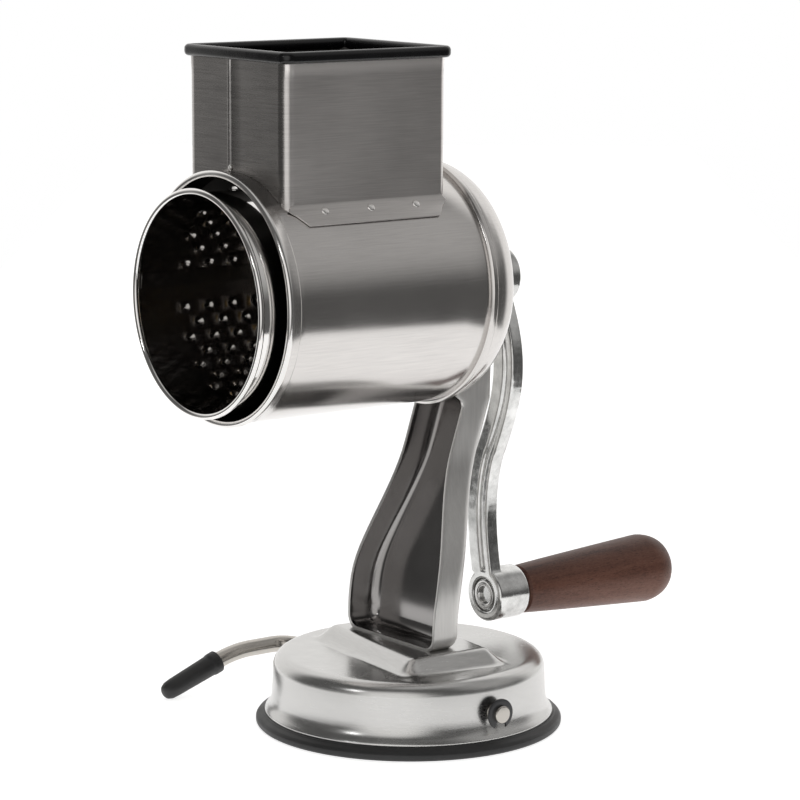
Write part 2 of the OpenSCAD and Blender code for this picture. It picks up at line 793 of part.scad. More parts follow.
// The drum's shell with its rolled mouth and its staggered holes.
module drum_shell() {
    first = drum_front + tooth_margin;
    count = floor((drum_l - 2 * tooth_margin) / tooth_pitch) + 1;
    color("#d0d1d2") difference() {
        union() {
            turned(axis_z, [[drum_r - drum_wall, drum_front + bead_r], [drum_r, drum_front + bead_r],
                            [drum_r, drum_back_y], [drum_r - drum_wall, drum_back_y]]);
            translate([0, drum_front + bead_r, axis_z]) rotate([90, 0, 0])
                rotate_extrude() translate([drum_r - drum_wall / 2, 0]) circle(r = bead_r, $fn = 32);
        }
        for (row = [0 : tooth_rows - 1]) for (k = [0 : count - 1])
            translate([0, first + (k + (row % 2) / 2) * tooth_pitch, axis_z])
                rotate([0, (row + 0.5) * 360 / tooth_rows, 0])
                    translate([0, 0, drum_r - punch / 2]) cylinder(d = tooth_hole_d, h = punch, $fn = 16);
    }
}

module drum_back() {
    color("#b5b7b8") difference() {
        rod_y(drum_r - drum_wall, drum_back_y - drum_back_t, drum_back_y, axis_z);
        square_hole(drum_back_y - drum_back_t - over, drum_back_t + 2 * over);
        rivet_places(rivet_r, drum_back_y - drum_back_t - over, drum_back_t + 2 * over);
    }
}

// A square hole on the drum's axis, clear of the shaft by the socket gap.
module square_hole(y, length) {
    translate([-socket_w / 2, y, axis_z - socket_w / 2]) cube([socket_w, length, socket_w]);
}

// Four small cylinders of radius r around the axis, for the rivets, their heads and their holes.
module rivet_places(r, y, length) {
    for (a = [45 : 90 : 315])
        translate([rivet_ring_r * cos(a), 0, rivet_ring_r * sin(a)]) rod_y(r, y, y + length, axis_z);
}

module drum_socket() {
    face = drum_back_y - drum_back_t;
    color("#c2a36b") difference() {
        union() {
            rod_y(socket_flange_r, face - socket_t, face, axis_z);
            rod_y(socket_r, face - socket_l, face, axis_z);
        }
        square_hole(face - socket_l + socket_floor, socket_l + over);
        rivet_places(rivet_r, face - socket_t - over, socket_t + 2 * over);
    }
}

module socket_rivets() {
    face = drum_back_y - drum_back_t;
    color("#c8c9ca") {
        rivet_places(rivet_r, face - socket_t, socket_t + drum_back_t);
        rivet_places(rivet_r + rivet_head, face - socket_t - rivet_head, rivet_head);
        rivet_places(rivet_r + rivet_head, drum_back_y, rivet_head);
    }
}

pad_ring();
pad_membrane();
pad_core();
lift_plate();
lift_yoke();
base_dome();
lever_rod();
lever_cam();
lever_clip();
lever_cap();
stand();
back_cap();
housing_tube();
hopper();
hopper_rim();
bearing_bush();
bearing_nut();
lock_washer();
drive_shaft();
thrust_washer();
crank_arm();
crank_screw();
grip_spindle();
grip_washer();
wood_grip();
grip_collar();
drum_shell();
drum_back();
drum_socket();
socket_rivets();
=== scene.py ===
# %% [markdown]
# # A hand-cranked drum grater
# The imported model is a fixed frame: it says where every part is and how it moves. This lesson
# builds the sheet metal, castings, rubber and wood around it, one piece at a time, and gives
# each its finish. Blender works in metres, and MM turns a size in millimetres into metres.

# %% Load the frame
import math
import random

import bmesh
import bpy
from mathutils import Matrix, Vector


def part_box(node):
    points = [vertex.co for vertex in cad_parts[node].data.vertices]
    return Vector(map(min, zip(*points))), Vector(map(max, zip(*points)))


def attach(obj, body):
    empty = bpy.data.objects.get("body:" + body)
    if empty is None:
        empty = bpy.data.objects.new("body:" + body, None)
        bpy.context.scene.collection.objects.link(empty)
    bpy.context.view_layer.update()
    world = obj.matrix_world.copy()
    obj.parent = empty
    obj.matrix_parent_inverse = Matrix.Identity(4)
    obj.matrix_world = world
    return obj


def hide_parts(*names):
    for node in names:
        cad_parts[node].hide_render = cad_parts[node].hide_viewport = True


MM = 0.001
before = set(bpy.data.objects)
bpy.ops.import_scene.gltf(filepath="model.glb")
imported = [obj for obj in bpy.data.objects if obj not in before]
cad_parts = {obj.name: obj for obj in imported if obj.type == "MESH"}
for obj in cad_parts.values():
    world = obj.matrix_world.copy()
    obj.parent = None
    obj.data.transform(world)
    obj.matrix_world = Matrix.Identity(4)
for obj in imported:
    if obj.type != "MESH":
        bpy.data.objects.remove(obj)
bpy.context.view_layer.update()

# %% [markdown]
# ## The camera
# A product picture of such a tool is taken from far away with a long lens, so that its upright
# edges stay nearly parallel. The camera looks slightly down at the mouth of the drum and at the
# right-hand side. It is aimed with two directions, forward and up, which fix its turn exactly.

# %% Place the camera
CAMERA_PLACE = Vector((993.91, -763.67, 348.48)) * MM
CAMERA_FORWARD = Vector((-0.78326, 0.59793, -0.17027))
CAMERA_UP = Vector((-0.13771, 0.10020, 0.98539))

lens_data = bpy.data.cameras.new("camera")
lens_data.lens = 143.12
lens_data.sensor_width = 36
lens_data.clip_end = 20
camera = bpy.data.objects.new("camera", lens_data)
bpy.context.scene.collection.objects.link(camera)
side = CAMERA_FORWARD.cross(CAMERA_UP).normalized()
upright = side.cross(CAMERA_FORWARD).normalized()
turn = Matrix((side, upright, -CAMERA_FORWARD.normalized())).transposed()
camera.matrix_world = Matrix.Translation(CAMERA_PLACE) @ turn.to_4x4()
bpy.context.scene.camera = camera
print("camera distance in mm:", round(CAMERA_PLACE.length / MM))

# %% [markdown]
# ## The studio
# Polished metal shows its surroundings, so the surroundings are part of its look. A narrow white
# table lights the metal from below and a white backdrop from behind. Soft lights come from above,
# from high on the right and from the front, where they draw the bright lines on the rolled lips.
# The rest of the room is dark, which gives the dark bands between the bright ones. The room is a
# world shader that depends only on direction. The camera itself sees the room as plain white.

# %% Build the table
TABLE_HALF = 0.34
TABLE_LENGTH = 3.0
TABLE_SHIFT = 0.35
TABLE_GLOW = 0.74
view_across = Vector((CAMERA_FORWARD.x, CAMERA_FORWARD.y, 0)).normalized()

bpy.context.scene.view_settings.view_transform = "Standard"
bpy.context.scene.view_settings.look = "None"

table_mesh = bmesh.new()
bmesh.ops.create_grid(table_mesh, x_segments=1, y_segments=1, size=1)
bmesh.ops.scale(table_mesh, vec=(TABLE_LENGTH / 2, TABLE_HALF, 1), verts=table_mesh.verts)
bmesh.ops.rotate(table_mesh, cent=(0, 0, 0), verts=table_mesh.verts,
                 matrix=Matrix.Rotation(math.atan2(view_across.y, view_across.x), 3, "Z"))
bmesh.ops.translate(table_mesh, vec=view_across * TABLE_SHIFT * TABLE_LENGTH, verts=table_mesh.verts)
table_data = bpy.data.meshes.new("table")
table_mesh.to_mesh(table_data)
table_mesh.free()
table = bpy.data.objects.new("table", table_data)
bpy.context.scene.collection.objects.link(table)

table_paint = bpy.data.materials.new("table_white")
table_paint.use_nodes = True
table_shader = table_paint.node_tree.nodes["Principled BSDF"]
table_shader.inputs["Base Color"].default_value = (0.9, 0.9, 0.9, 1)
table_shader.inputs["Roughness"].default_value = 0.9
table_shader.inputs["Emission Color"].default_value = (1, 1, 1, 1)
table_shader.inputs["Emission Strength"].default_value = TABLE_GLOW
table_data.materials.append(table_paint)

# %% Light the room
BACKDROP_LIGHT = 0.95
RIGHT_LIGHT = 0.36
FRONT_LIGHT = 0.95
TOP_LIGHT = 0.45
ROOM_LIGHT = 0.11

room = bpy.data.worlds.new("room")
bpy.context.scene.world = room
room.use_nodes = True
room_tree = room.node_tree


def room_node(kind, **settings):
    made = room_tree.nodes.new("ShaderNode" + kind)
    for key, value in settings.items():
        setattr(made, key, value)
    return made


def wire(output, socket):
    room_tree.links.new(output, socket)


def glow(direction, start, stop, light):
    """Light from the side that direction points to, easing in between two cosines."""
    along = room_node("VectorMath", operation="DOT_PRODUCT")
    wire(room_node("TexCoord").outputs["Generated"], along.inputs[0])
    along.inputs[1].default_value = direction
    ramp = room_node("MapRange", interpolation_type="SMOOTHSTEP")
    wire(along.outputs["Value"], ramp.inputs["Value"])
    ramp.inputs["From Min"].default_value = start
    ramp.inputs["From Max"].default_value = stop
    ramp.inputs["To Max"].default_value = light
    return ramp.outputs[0]


def total(a, b):
    node = room_node("Math", operation="ADD")
    wire(a, node.inputs[0])
    if isinstance(b, float):
        node.inputs[1].default_value = b
    else:
        wire(b, node.inputs[1])
    return node.outputs[0]


backdrop = glow(view_across, 0.25, 0.6, BACKDROP_LIGHT)
right = glow((0.52, 0.60, 0.61), 0.78, 1.0, RIGHT_LIGHT)
front = glow((0.62, -0.77, 0.12), 0.78, 0.97, FRONT_LIGHT)
top = glow((0, 0, 1), 0.80, 0.98, TOP_LIGHT)
strength = total(total(backdrop, right), total(total(front, top), ROOM_LIGHT))
dim = room_tree.nodes["Background"]
dim.inputs["Color"].default_value = (1, 0.99, 0.975, 1)
wire(strength, dim.inputs["Strength"])
white = room_node("Background")
white.inputs["Color"].default_value = (1, 1, 1, 1)
choice = room_node("MixShader")
wire(room_node("LightPath").outputs["Is Camera Ray"], choice.inputs[0])
wire(dim.outputs[0], choice.inputs[1])
wire(white.outputs[0], choice.inputs[2])
wire(choice.outputs[0], room_tree.nodes["World Output"].inputs[0])


def soft_lamp(name, place, target, size, power):
    """A rectangular lamp of size (width, height) at place, aimed at target, both in metres."""
    data = bpy.data.lights.new(name, "AREA")
    data.shape = "RECTANGLE"
    data.size, data.size_y = size
    data.energy = power
    lamp = bpy.data.objects.new(name, data)
    lamp.location = place
    aim = Vector(target) - Vector(place)
    lamp.rotation_euler = aim.to_track_quat("-Z", "Y").to_euler()
    bpy.context.scene.collection.objects.link(lamp)
    return lamp


soft_lamp("front_lamp", (0.15, -1.6, 0.75), (0, -0.05, 0.16), (0.16, 0.16), 1.1)

# %% [markdown]
# ## Tools of the trade
# Most pieces are turned, bent or pressed, so a handful of helpers make them all. A lathe spins an
# outline round an axis, and rounding bevels only the edges that are sharp. Each helper works on a
# bmesh, and `finish_piece` turns the bmesh into an object that rides on its body.

# %% Helpers for shaping
AXES = {"x": (Vector((0, 1, 0)), Vector((1, 0, 0))),
        "y": (Vector((1, 0, 0)), Vector((0, 1, 0))),
        "z": (Vector((1, 0, 0)), Vector((0, 0, 1)))}


def lathe(bm, outline, axis="y", centre=(0, 0, 0), steps=128, closed=False):
    """Spins an outline of (radius, distance along the axis) points in mm into a surface."""
    outward, along = AXES[axis]
    centre = Vector(centre) * MM
    verts = [bm.verts.new(centre + (outward * r + along * d) * MM) for r, d in outline]
    ends = verts[1:] + verts[:1] if closed else verts[1:]
    edges = [bm.edges.new(pair) for pair in zip(verts, ends)]
    bmesh.ops.spin(bm, geom=verts + edges, cent=centre, axis=along, angle=math.tau,
                   steps=steps, use_merge=True, use_duplicate=False)
    bmesh.ops.remove_doubles(bm, verts=bm.verts, dist=0.002 * MM)
    bmesh.ops.recalc_face_normals(bm, faces=bm.faces)


def arc(r, d, across, along, angles):
    """Outline points on an oval about (r, d): half sizes in mm, angles in degrees."""
    turns = [math.radians(a) for a in angles]
    return [(r + across * math.cos(a), d + along * math.sin(a)) for a in turns]


def bevel(bm, edges, width, segments):
    """Rounds the given edges by width, in mm."""
    bmesh.ops.bevel(bm, geom=edges, offset=width * MM, offset_type="OFFSET", segments=segments,
                    profile=0.5, affect="EDGES", clamp_overlap=True, material=-1)


def round_edges(bm, width, segments=2, sharpest=30):
    """Bevels every edge that turns by more than the given angle."""
    bevel(bm, [e for e in bm.edges if len(e.link_faces) == 2
               and e.calc_face_angle(0) > math.radians(sharpest)], width, segments)


def box(bm, low, high):
    """A box between two corners, in mm."""
    bmesh.ops.create_cube(bm, size=1)
    bmesh.ops.scale(bm, vec=(high - low) * MM, verts=bm.verts)
    bmesh.ops.translate(bm, vec=(high + low) / 2 * MM, verts=bm.verts)


def cut(bm, place, across):
    """Cuts a row of edges where a plane through place, in mm, crosses the mesh."""
    bmesh.ops.bisect_plane(bm, geom=bm.verts[:] + bm.edges[:] + bm.faces[:], dist=1e-6,
                           plane_co=Vector(place) * MM, plane_no=across)


def finish_piece(name, bm, body, paint, nodes=(), flat_above=40):
    """Makes the bmesh an object with its material, body and the CAD nodes it replaces."""
    data = bpy.data.meshes.new(name)
    bm.to_mesh(data)
    bm.free()
    data.shade_smooth()
    data.set_sharp_from_angle(angle=math.radians(flat_above))
    data.materials.append(paint)
    piece = bpy.data.objects.new(name, data)
    bpy.context.scene.collection.objects.link(piece)
    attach(piece, body)
    if nodes:
        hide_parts(*nodes)
    print(f"{name}: {len(data.polygons)} faces, rides on {body}")
    return piece


def modify(piece, name, kind, **settings):
    """Adds a modifier to the piece and sets its values."""
    modifier = piece.modifiers.new(name, kind)
    for key, value in settings.items():
        setattr(modifier, key, value)


def middle(node):
    """Centre of a CAD node's box, in mm."""
    low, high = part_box(node)
    return (low + high) / 2 / MM


def low_high(node):
    """Lowest and highest corner of a CAD node's box, in mm."""
    low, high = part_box(node)
    return low / MM, high / MM


# %% [markdown]
# ## Finishes
# Every finish is a small node tree. `Recipe` keeps the trees short: it makes a node, sets its
# sockets by name, and links what it is given. Values that are the same all over a surface are set
# straight on the shader, because only a plain value survives an export to another program.

# %% A helper for material recipes
class Recipe:
    def __init__(self, name, **sockets):
        self.paint = bpy.data.materials.new(name)
        self.paint.use_nodes = True
        self.tree = self.paint.node_tree
        self.shader = self.tree.nodes["Principled BSDF"]
        self.fill(self.shader, sockets)

    def fill(self, node, sockets):
        for key, value in sockets.items():
            socket = node.inputs[key.replace("_", " ")] if isinstance(key, str) else node.inputs[key]
            if isinstance(value, bpy.types.NodeSocket):
                self.tree.links.new(value, socket)
            else:
                socket.default_value = value

    def node(self, kind, sockets=None, **settings):
        made = self.tree.nodes.new("ShaderNode" + kind)
        for key, value in settings.items():
            setattr(made, key, value)
        self.fill(made, sockets or {})
        return made

    def place(self, scale=(1, 1, 1), turn=(0, 0, 0), shift=(0, 0, 0)):
        """Object coordinates, stretched by scale: a large number packs the pattern tightly."""
        coordinates = self.node("TexCoord").outputs["Object"]
        return self.node("Mapping", {"Vector": coordinates, "Scale": scale, "Rotation": turn,
                                     "Location": shift}).outputs[0]

    def noise(self, where, scale, detail=3, roughness=0.55, distortion=0):
        return self.node("TexNoise", {"Vector": where, "Scale": scale, "Detail": detail,
                                      "Roughness": roughness, "Distortion": distortion}).outputs[0]

    def spread(self, value, low, high, start=0.3, stop=0.7):
        """Maps value from start..stop to low..high."""
        return self.node("MapRange", {"Value": value, "From Min": start, "From Max": stop,
                                      "To Min": low, "To Max": high}).outputs[0]

    def blend_colour(self, value, *stops):
        """A colour ramp through (position, (r, g, b)) stops."""
        ramp = self.node("ValToRGB", {0: value})
        elements = ramp.color_ramp.elements
        while len(elements) < len(stops):
            elements.new(0.5)
        for element, (position, colour) in zip(elements, stops):
            element.position = position
            element.color = (*colour, 1)
        return ramp.outputs[0]

    def add(self, a, b, share=0.5):
        """Mixes two values: share is the part of b."""
        return self.node("Mix", {0: share, 2: a, 3: b}).outputs[0]

    def bump(self, height, strength, distance, base=None):
        sockets = {"Height": height, "Strength": strength, "Distance": distance * MM}
        if base is not None:
            sockets["Normal"] = base
        return self.node("Bump", sockets).outputs[0]

    def use(self, **sockets):
        self.fill(self.shader, sockets)
        return self.paint


# %% [markdown]
# ### Satin sheet steel
# Brushed stainless steel is covered with very fine parallel scratches. Noise that is stretched
# along the brushing gives them: it changes the roughness a little and lifts the surface by a few
# microns. A second, broad noise gives the faint clouding that sheet metal always has. Anisotropy
# stretches the highlight across the scratches, and a Tangent node says which way they run. The
# insides of the tube, the hopper, the drum and the stand get darker steels of their own: this is
# painted shade, a darker colour that stands in for the shadow in a narrow space.

# %% Satin steel recipes
def satin_steel(name, grain, colour=(0.60, 0.595, 0.585), roughness=0.30, anisotropy=0.0,
                depth=0.004, cloud=0.03, contrast=0.08, brighter_from=None):
    """Steel brushed along the axis where grain is small. The grain numbers are lines per metre.
    Above a height in mm, given as the last argument, the colour is a little brighter."""
    r = Recipe(name, Metallic=1.0, Anisotropic=anisotropy, Anisotropic_Rotation=0.25)
    lines = r.noise(r.place(grain), 1.0, detail=4, roughness=0.7)
    clouds = r.noise(r.place((1, 1, 1)), 28, detail=3)
    shade = r.add(lines, clouds, 0.35)
    tint = r.blend_colour(shade, (0.3, tuple((1 - contrast) * c for c in colour)),
                          (0.7, tuple((1 + contrast) * c for c in colour)))
    rough = r.spread(r.add(lines, clouds, 0.5), roughness - cloud, roughness + cloud)
    if brighter_from:
        # Above the given height the colour is made 1.45 times brighter, easing in over 3 mm.
        height = r.node("SeparateXYZ", {0: r.place()}).outputs[2]
        rolled = r.spread(height, 0.0, 1.0, start=brighter_from * MM, stop=(brighter_from + 3) * MM)
        bright = tuple(min(1, c * 1.45) for c in colour) + (1,)
        tint = r.node("Mix", {0: rolled, 6: tint, 7: bright}, data_type="RGBA").outputs[2]
    sockets = {"Base_Color": tint, "Roughness": rough, "Normal": r.bump(lines, 0.35, depth)}
    if anisotropy:
        sockets["Tangent"] = r.node("Tangent", direction_type="RADIAL", axis="Z").outputs[0]
    return r.use(**sockets)


def polished_steel(name, colour=(0.66, 0.65, 0.64), roughness=0.07, waviness=0.10):
    """Bright steel with faint hairlines, smears and a slight waviness from pressing."""
    r = Recipe(name, Metallic=1.0)
    smears = r.noise(r.place(), 45, detail=4)
    hair = r.noise(r.place((2600, 60, 2600)), 1.0, detail=2)
    waves = r.noise(r.place(), 22, detail=2)
    tint = r.blend_colour(smears, (0.3, tuple(0.92 * c for c in colour)), (0.7, colour))
    normal = r.bump(waves, 0.3, waviness, base=r.bump(hair, 0.15, 0.003))
    rough = r.spread(smears, roughness, roughness + 0.07)
    return r.use(Base_Color=tint, Roughness=rough, Normal=normal)


TURNED = (1500, 1500, 1500)
ALONG_X_AND_Y = (55, 55, 2300)

TUBE_STEEL = satin_steel("satin_steel_tube", (2000, 60, 2000), colour=(0.62, 0.60, 0.585),
                         roughness=0.18, contrast=0.10)
# Painted shade: the hopper's front face is coloured darker than its sides, and its stronger tint contrast
# paints cloudy reflections.
HOPPER_FRONT_PAINTED_SHADE = satin_steel("satin_steel_hopper_front_painted_shade", ALONG_X_AND_Y, colour=(0.36, 0.345, 0.335),
                                 roughness=0.27, anisotropy=0.8, depth=0.006, cloud=0.06, contrast=0.22)
# Above 265.5 mm the colour is a little brighter.
HOPPER_STEEL = satin_steel("satin_steel_hopper", ALONG_X_AND_Y, colour=(0.64, 0.615, 0.60),
                           roughness=0.34, anisotropy=0.8, contrast=0.16, brighter_from=265.5)
# Painted shade: the inside of the hopper is coloured nearly black.
HOPPER_INSIDE_PAINTED_SHADE = satin_steel("painted_shade_steel_hopper_inside", ALONG_X_AND_Y, colour=(0.07, 0.068, 0.066),
                            roughness=0.45)
BASE_STEEL = satin_steel("satin_steel_base", (160, 160, 2200), colour=(0.56, 0.555, 0.545),
                         roughness=0.25, cloud=0.04, contrast=0.09, depth=0.002)
STAND_STEEL = satin_steel("satin_steel_stand", (900, 900, 60), colour=(0.64, 0.63, 0.615),
                          roughness=0.42, contrast=0.10)
# Painted shade: the inside of the stand's tray is coloured darker than its outside.
STAND_INSIDE_PAINTED_SHADE = polished_steel("pressed_steel_stand_inside_painted_shade", colour=(0.30, 0.29, 0.285),
                              roughness=0.12, waviness=0.35)
DRUM_STEEL = polished_steel("polished_steel_drum", colour=(0.82, 0.805, 0.79), roughness=0.05)
LIP_STEEL = polished_steel("polished_steel_lip", colour=(0.80, 0.785, 0.77), roughness=0.10)
# Painted shade: the inside of the drum and its lap strip are coloured darker than the outside.
DRUM_INSIDE_PAINTED_SHADE = polished_steel("painted_shade_steel_drum_inside", colour=(0.33, 0.315, 0.30), roughness=0.09)
# Painted shade: the inside of the tube is coloured almost black for the shadow in it.
TUBE_INSIDE_PAINTED_SHADE = satin_steel("painted_shade_steel_tube_inside", (60, 60, 60), colour=(0.025, 0.024, 0.023),
                           roughness=0.5)
TURNED_STEEL = satin_steel("turned_steel", TURNED, roughness=0.22, depth=0.002)
WELD_STEEL = satin_steel("satin_steel_welds", (900, 900, 900), colour=(0.90, 0.88, 0.86),
                         roughness=0.33, depth=0.0005, contrast=0.03)
PLATED_ROD = polished_steel("nickel_plated_rod", colour=(0.50, 0.475, 0.44), roughness=0.20)
BRASS = satin_steel("turned_brass", TURNED, colour=(0.68, 0.50, 0.24), roughness=0.25)

# %% [markdown]
# ### Cast aluminium
# The crank is a rough casting that was only tumbled and buffed. Its light parts are the bright
# high spots and its dark parts are the pits that buffing never reached. A Voronoi pattern gives
# the pits, and broad noise gives the uneven skin of the casting.

# %% Cast aluminium
def cast_aluminium():
    r = Recipe("cast_aluminium", Metallic=1.0)
    skin = r.noise(r.place(), 260, detail=5, roughness=0.65)
    broad = r.noise(r.place(), 60, detail=2)
    pits = r.node("TexVoronoi", {"Vector": r.place(), "Scale": 700}, feature="F1").outputs["Distance"]
    pit_depth = r.spread(pits, 0, 1, start=0.0, stop=0.25)
    tint = r.blend_colour(r.add(skin, broad, 0.5), (0.34, (0.46, 0.46, 0.45)),
                          (0.5, (0.64, 0.64, 0.63)), (0.64, (0.82, 0.82, 0.81)))
    pitted = r.bump(skin, 0.25, 0.07, base=r.bump(pit_depth, 0.15, 0.04))
    normal = r.bump(broad, 0.4, 0.5, base=pitted)
    return r.use(Base_Color=tint, Roughness=r.spread(skin, 0.11, 0.24), Normal=normal)


CAST_ALUMINIUM = cast_aluminium()

# %% [markdown]
# ### Rubber, black steel and plastic
# Moulded rubber is never quite black: light catches a fine pebbled skin and a little dust. The
# retaining clip is spring steel with a black oxide skin, which is smoother and harder.

# %% Dark finishes
def black_rubber(name, colour, roughness, grain=900):
    r = Recipe(name)
    pebble = r.noise(r.place(), grain, detail=3)
    dust = r.noise(r.place(), 70, detail=5, roughness=0.7)
    tint = r.blend_colour(dust, (0.35, colour), (0.75, tuple(c * 1.7 for c in colour)))
    normal = r.bump(pebble, 0.25, 0.03)
    r.shader.inputs["Specular IOR Level"].default_value = 0.45
    rough = r.spread(dust, roughness - 0.06, roughness + 0.1)
    return r.use(Base_Color=tint, Roughness=rough, Normal=normal)


PAD_RUBBER = black_rubber("moulded_rubber", (0.019, 0.019, 0.0195), 0.46)
EDGE_RUBBER = black_rubber("smooth_black_edging", (0.003, 0.003, 0.0035), 0.22, grain=400)
BLACK_STEEL = black_rubber("black_oxide_steel", (0.02, 0.02, 0.022), 0.32, grain=1800)
WHITE_PLASTIC = black_rubber("white_plastic", (0.42, 0.41, 0.38), 0.4)

# %% [markdown]
# ### Dark wood
# The grip is turned from a dark red-brown hardwood, and its grain runs along the grip. Stretched
# noise gives the growth bands, a finer stretched noise gives the pores, and a thin satin oil
# leaves a soft gloss. The pores are slightly sunk, which breaks up the highlight.

# %% Dark wood
def dark_wood():
    r = Recipe("dark_oiled_wood")
    warp = r.noise(r.place((30, 8, 30)), 1.0, detail=2)
    bands = r.noise(r.place((110, 9, 110)), 1.0, detail=4, roughness=0.6, distortion=0.6)
    pores = r.noise(r.place((2400, 260, 2400)), 1.0, detail=4, roughness=0.75)
    flecks = r.noise(r.place((1500, 700, 1500)), 1.0, detail=2)
    mix = r.add(r.add(bands, warp, 0.35), flecks, 0.22)
    tint = r.blend_colour(mix, (0.34, (0.060, 0.024, 0.017)), (0.47, (0.130, 0.056, 0.038)),
                          (0.56, (0.165, 0.077, 0.054)), (0.68, (0.21, 0.105, 0.075)))
    dark_pores = r.spread(pores, 0.0, 1.0, start=0.33, stop=0.45)
    pore_colour = (0.045, 0.02, 0.014, 1)
    final = r.node("Mix", {0: dark_pores, 6: pore_colour, 7: tint}, data_type="RGBA").outputs[2]
    normal = r.bump(dark_pores, 0.35, 0.05, base=r.bump(bands, 0.2, 0.15))
    r.shader.inputs["Specular IOR Level"].default_value = 0.28
    return r.use(Base_Color=final, Roughness=r.spread(pores, 0.5, 0.36), Normal=normal)


DARK_WOOD = dark_wood()

# %% [markdown]
# ## The suction foot
# The rubber ring is moulded with a rounded outer edge and a flat top on which the steel sits. It
# is one outline spun round the upright axis. Spinning is the natural choice for anything round:
# the outline holds the design, and the number of steps only sets how smooth it is.

# %% Rubber ring
pad_high = low_high("pad_ring")[1]
pad_r = pad_high.x
pad_top = pad_high.z
membrane_r = low_high("pad_membrane")[1].x

bm = bmesh.new()
lathe(bm, [(membrane_r, 0), (pad_r - 0.8, 0), (pad_r, 0.9), (pad_r, pad_top - 2.4),
           (pad_r - 0.9, pad_top - 1.3), (pad_r - 2.6, pad_top - 0.55), (pad_r - 3.0, pad_top),
           (membrane_r, pad_top)], axis="z", steps=160, closed=True)
round_edges(bm, 0.35, segments=3, sharpest=20)
finish_piece("rubber_ring", bm, "root", PAD_RUBBER, ["pad_ring"])

# %% [markdown]
# The base is one deep-drawn sheet: a flared foot, an upright wall, a rounded shoulder and a top
# with a raised platform for the stand. A fine disc is spun first, and then its points are lifted
# where the platform is. The lift eases in over the slope, as drawn metal does, so no edge of the
# platform is sharp. Solidify then gives the sheet its thickness.

# %% Pressed steel base
base_high = low_high("base_dome")[1]
FLARE_R = base_high.x
PLATFORM_Z = base_high.z
PLATFORM_RISE = 6.0
PLATFORM_SIZE = (61.5, 32.0)
PLATFORM_TURN = math.radians(-7)
PLATFORM_SLOPE = 9.5
TOP_Z = PLATFORM_Z - PLATFORM_RISE
WALL_R = FLARE_R - 3.2
SHOULDER_R = 5.5
SHEET = 1.2


def ease(t):
    t = max(0.0, min(1.0, t))
    return t * t * (3 - 2 * t)


def platform_lift(x, y):
    """Share of the platform's height at a point of the base's top, in mm."""
    u = abs(x * math.cos(PLATFORM_TURN) + y * math.sin(PLATFORM_TURN))
    v = abs(y * math.cos(PLATFORM_TURN) - x * math.sin(PLATFORM_TURN))
    out_u = u - PLATFORM_SIZE[0] / 2
    out_v = v - PLATFORM_SIZE[1] / 2
    return (1 - ease(out_u / PLATFORM_SLOPE)) * (1 - ease(out_v / PLATFORM_SLOPE))


wall = [(FLARE_R, pad_top), (FLARE_R - 0.3, pad_top + 1.0), (FLARE_R - 1.4, pad_top + 2.2),
        (FLARE_R - 2.3, pad_top + 3.8), (WALL_R + 0.35, pad_top + 6.0), (WALL_R + 0.1, pad_top + 9),
        (WALL_R - 0.1, pad_top + 13), (WALL_R - 0.3, TOP_Z - SHOULDER_R)]
shoulder = arc(WALL_R - 0.3 - SHOULDER_R, TOP_Z - SHOULDER_R, SHOULDER_R, SHOULDER_R, range(12, 91, 13))
DISC_STEP = 0.9
disc = [(WALL_R - SHOULDER_R - 1.5 - DISC_STEP * k, TOP_Z) for k in range(int((WALL_R - 8) / DISC_STEP))]
bm = bmesh.new()
lathe(bm, wall + shoulder + disc + [(0, TOP_Z)], axis="z", steps=240)
for v in bm.verts:
    if v.co.z > (TOP_Z - 0.1) * MM:
        v.co.z += PLATFORM_RISE * MM * platform_lift(v.co.x / MM, v.co.y / MM)
bmesh.ops.recalc_face_normals(bm, faces=bm.faces)
base = finish_piece("steel_base", bm, "root", BASE_STEEL, ["base_dome"], flat_above=60)
modify(base, "sheet", "SOLIDIFY", thickness=SHEET * MM, offset=-1)

# %% [markdown]
# ## The lever that works the suction
# The lever is a plated rod that was bent cold. The rod is made the same way here: a small circle
# is pushed along its own axis for each straight run and spun about the centre of each bend.

# %% Bent rod
rod_low, rod_high = low_high("lever_rod")
ROD_R = 3.5
rod_z = rod_high.z - ROD_R
LEVER_X = -(rod_low.x + ROD_R)
BEND_R = 9.0
LEVEL_RUN = 10.0
DROOP_R = 50.0
DROOP = math.radians(20)
TAIL = 18.0


def push(bm, ring, direction, length):
    """Extrudes an open ring of edges along direction, and returns the new ring."""
    made = bmesh.ops.extrude_edge_only(bm, edges=ring)["geom"]
    verts = [g for g in made if isinstance(g, bmesh.types.BMVert)]
    bmesh.ops.translate(bm, vec=Vector(direction) * length * MM, verts=verts)
    return [g for g in made if isinstance(g, bmesh.types.BMEdge)]


def bend(bm, ring, centre, axis, angle, steps):
    """Spins an open ring of edges about a bend's centre, and returns the new ring."""
    verts = list({v for e in ring for v in e.verts})
    made = bmesh.ops.spin(bm, geom=verts + ring, cent=Vector(centre) * MM, axis=axis, angle=angle,
                          steps=steps, use_merge=False, use_duplicate=False)["geom_last"]
    return [g for g in made if isinstance(g, bmesh.types.BMEdge)]


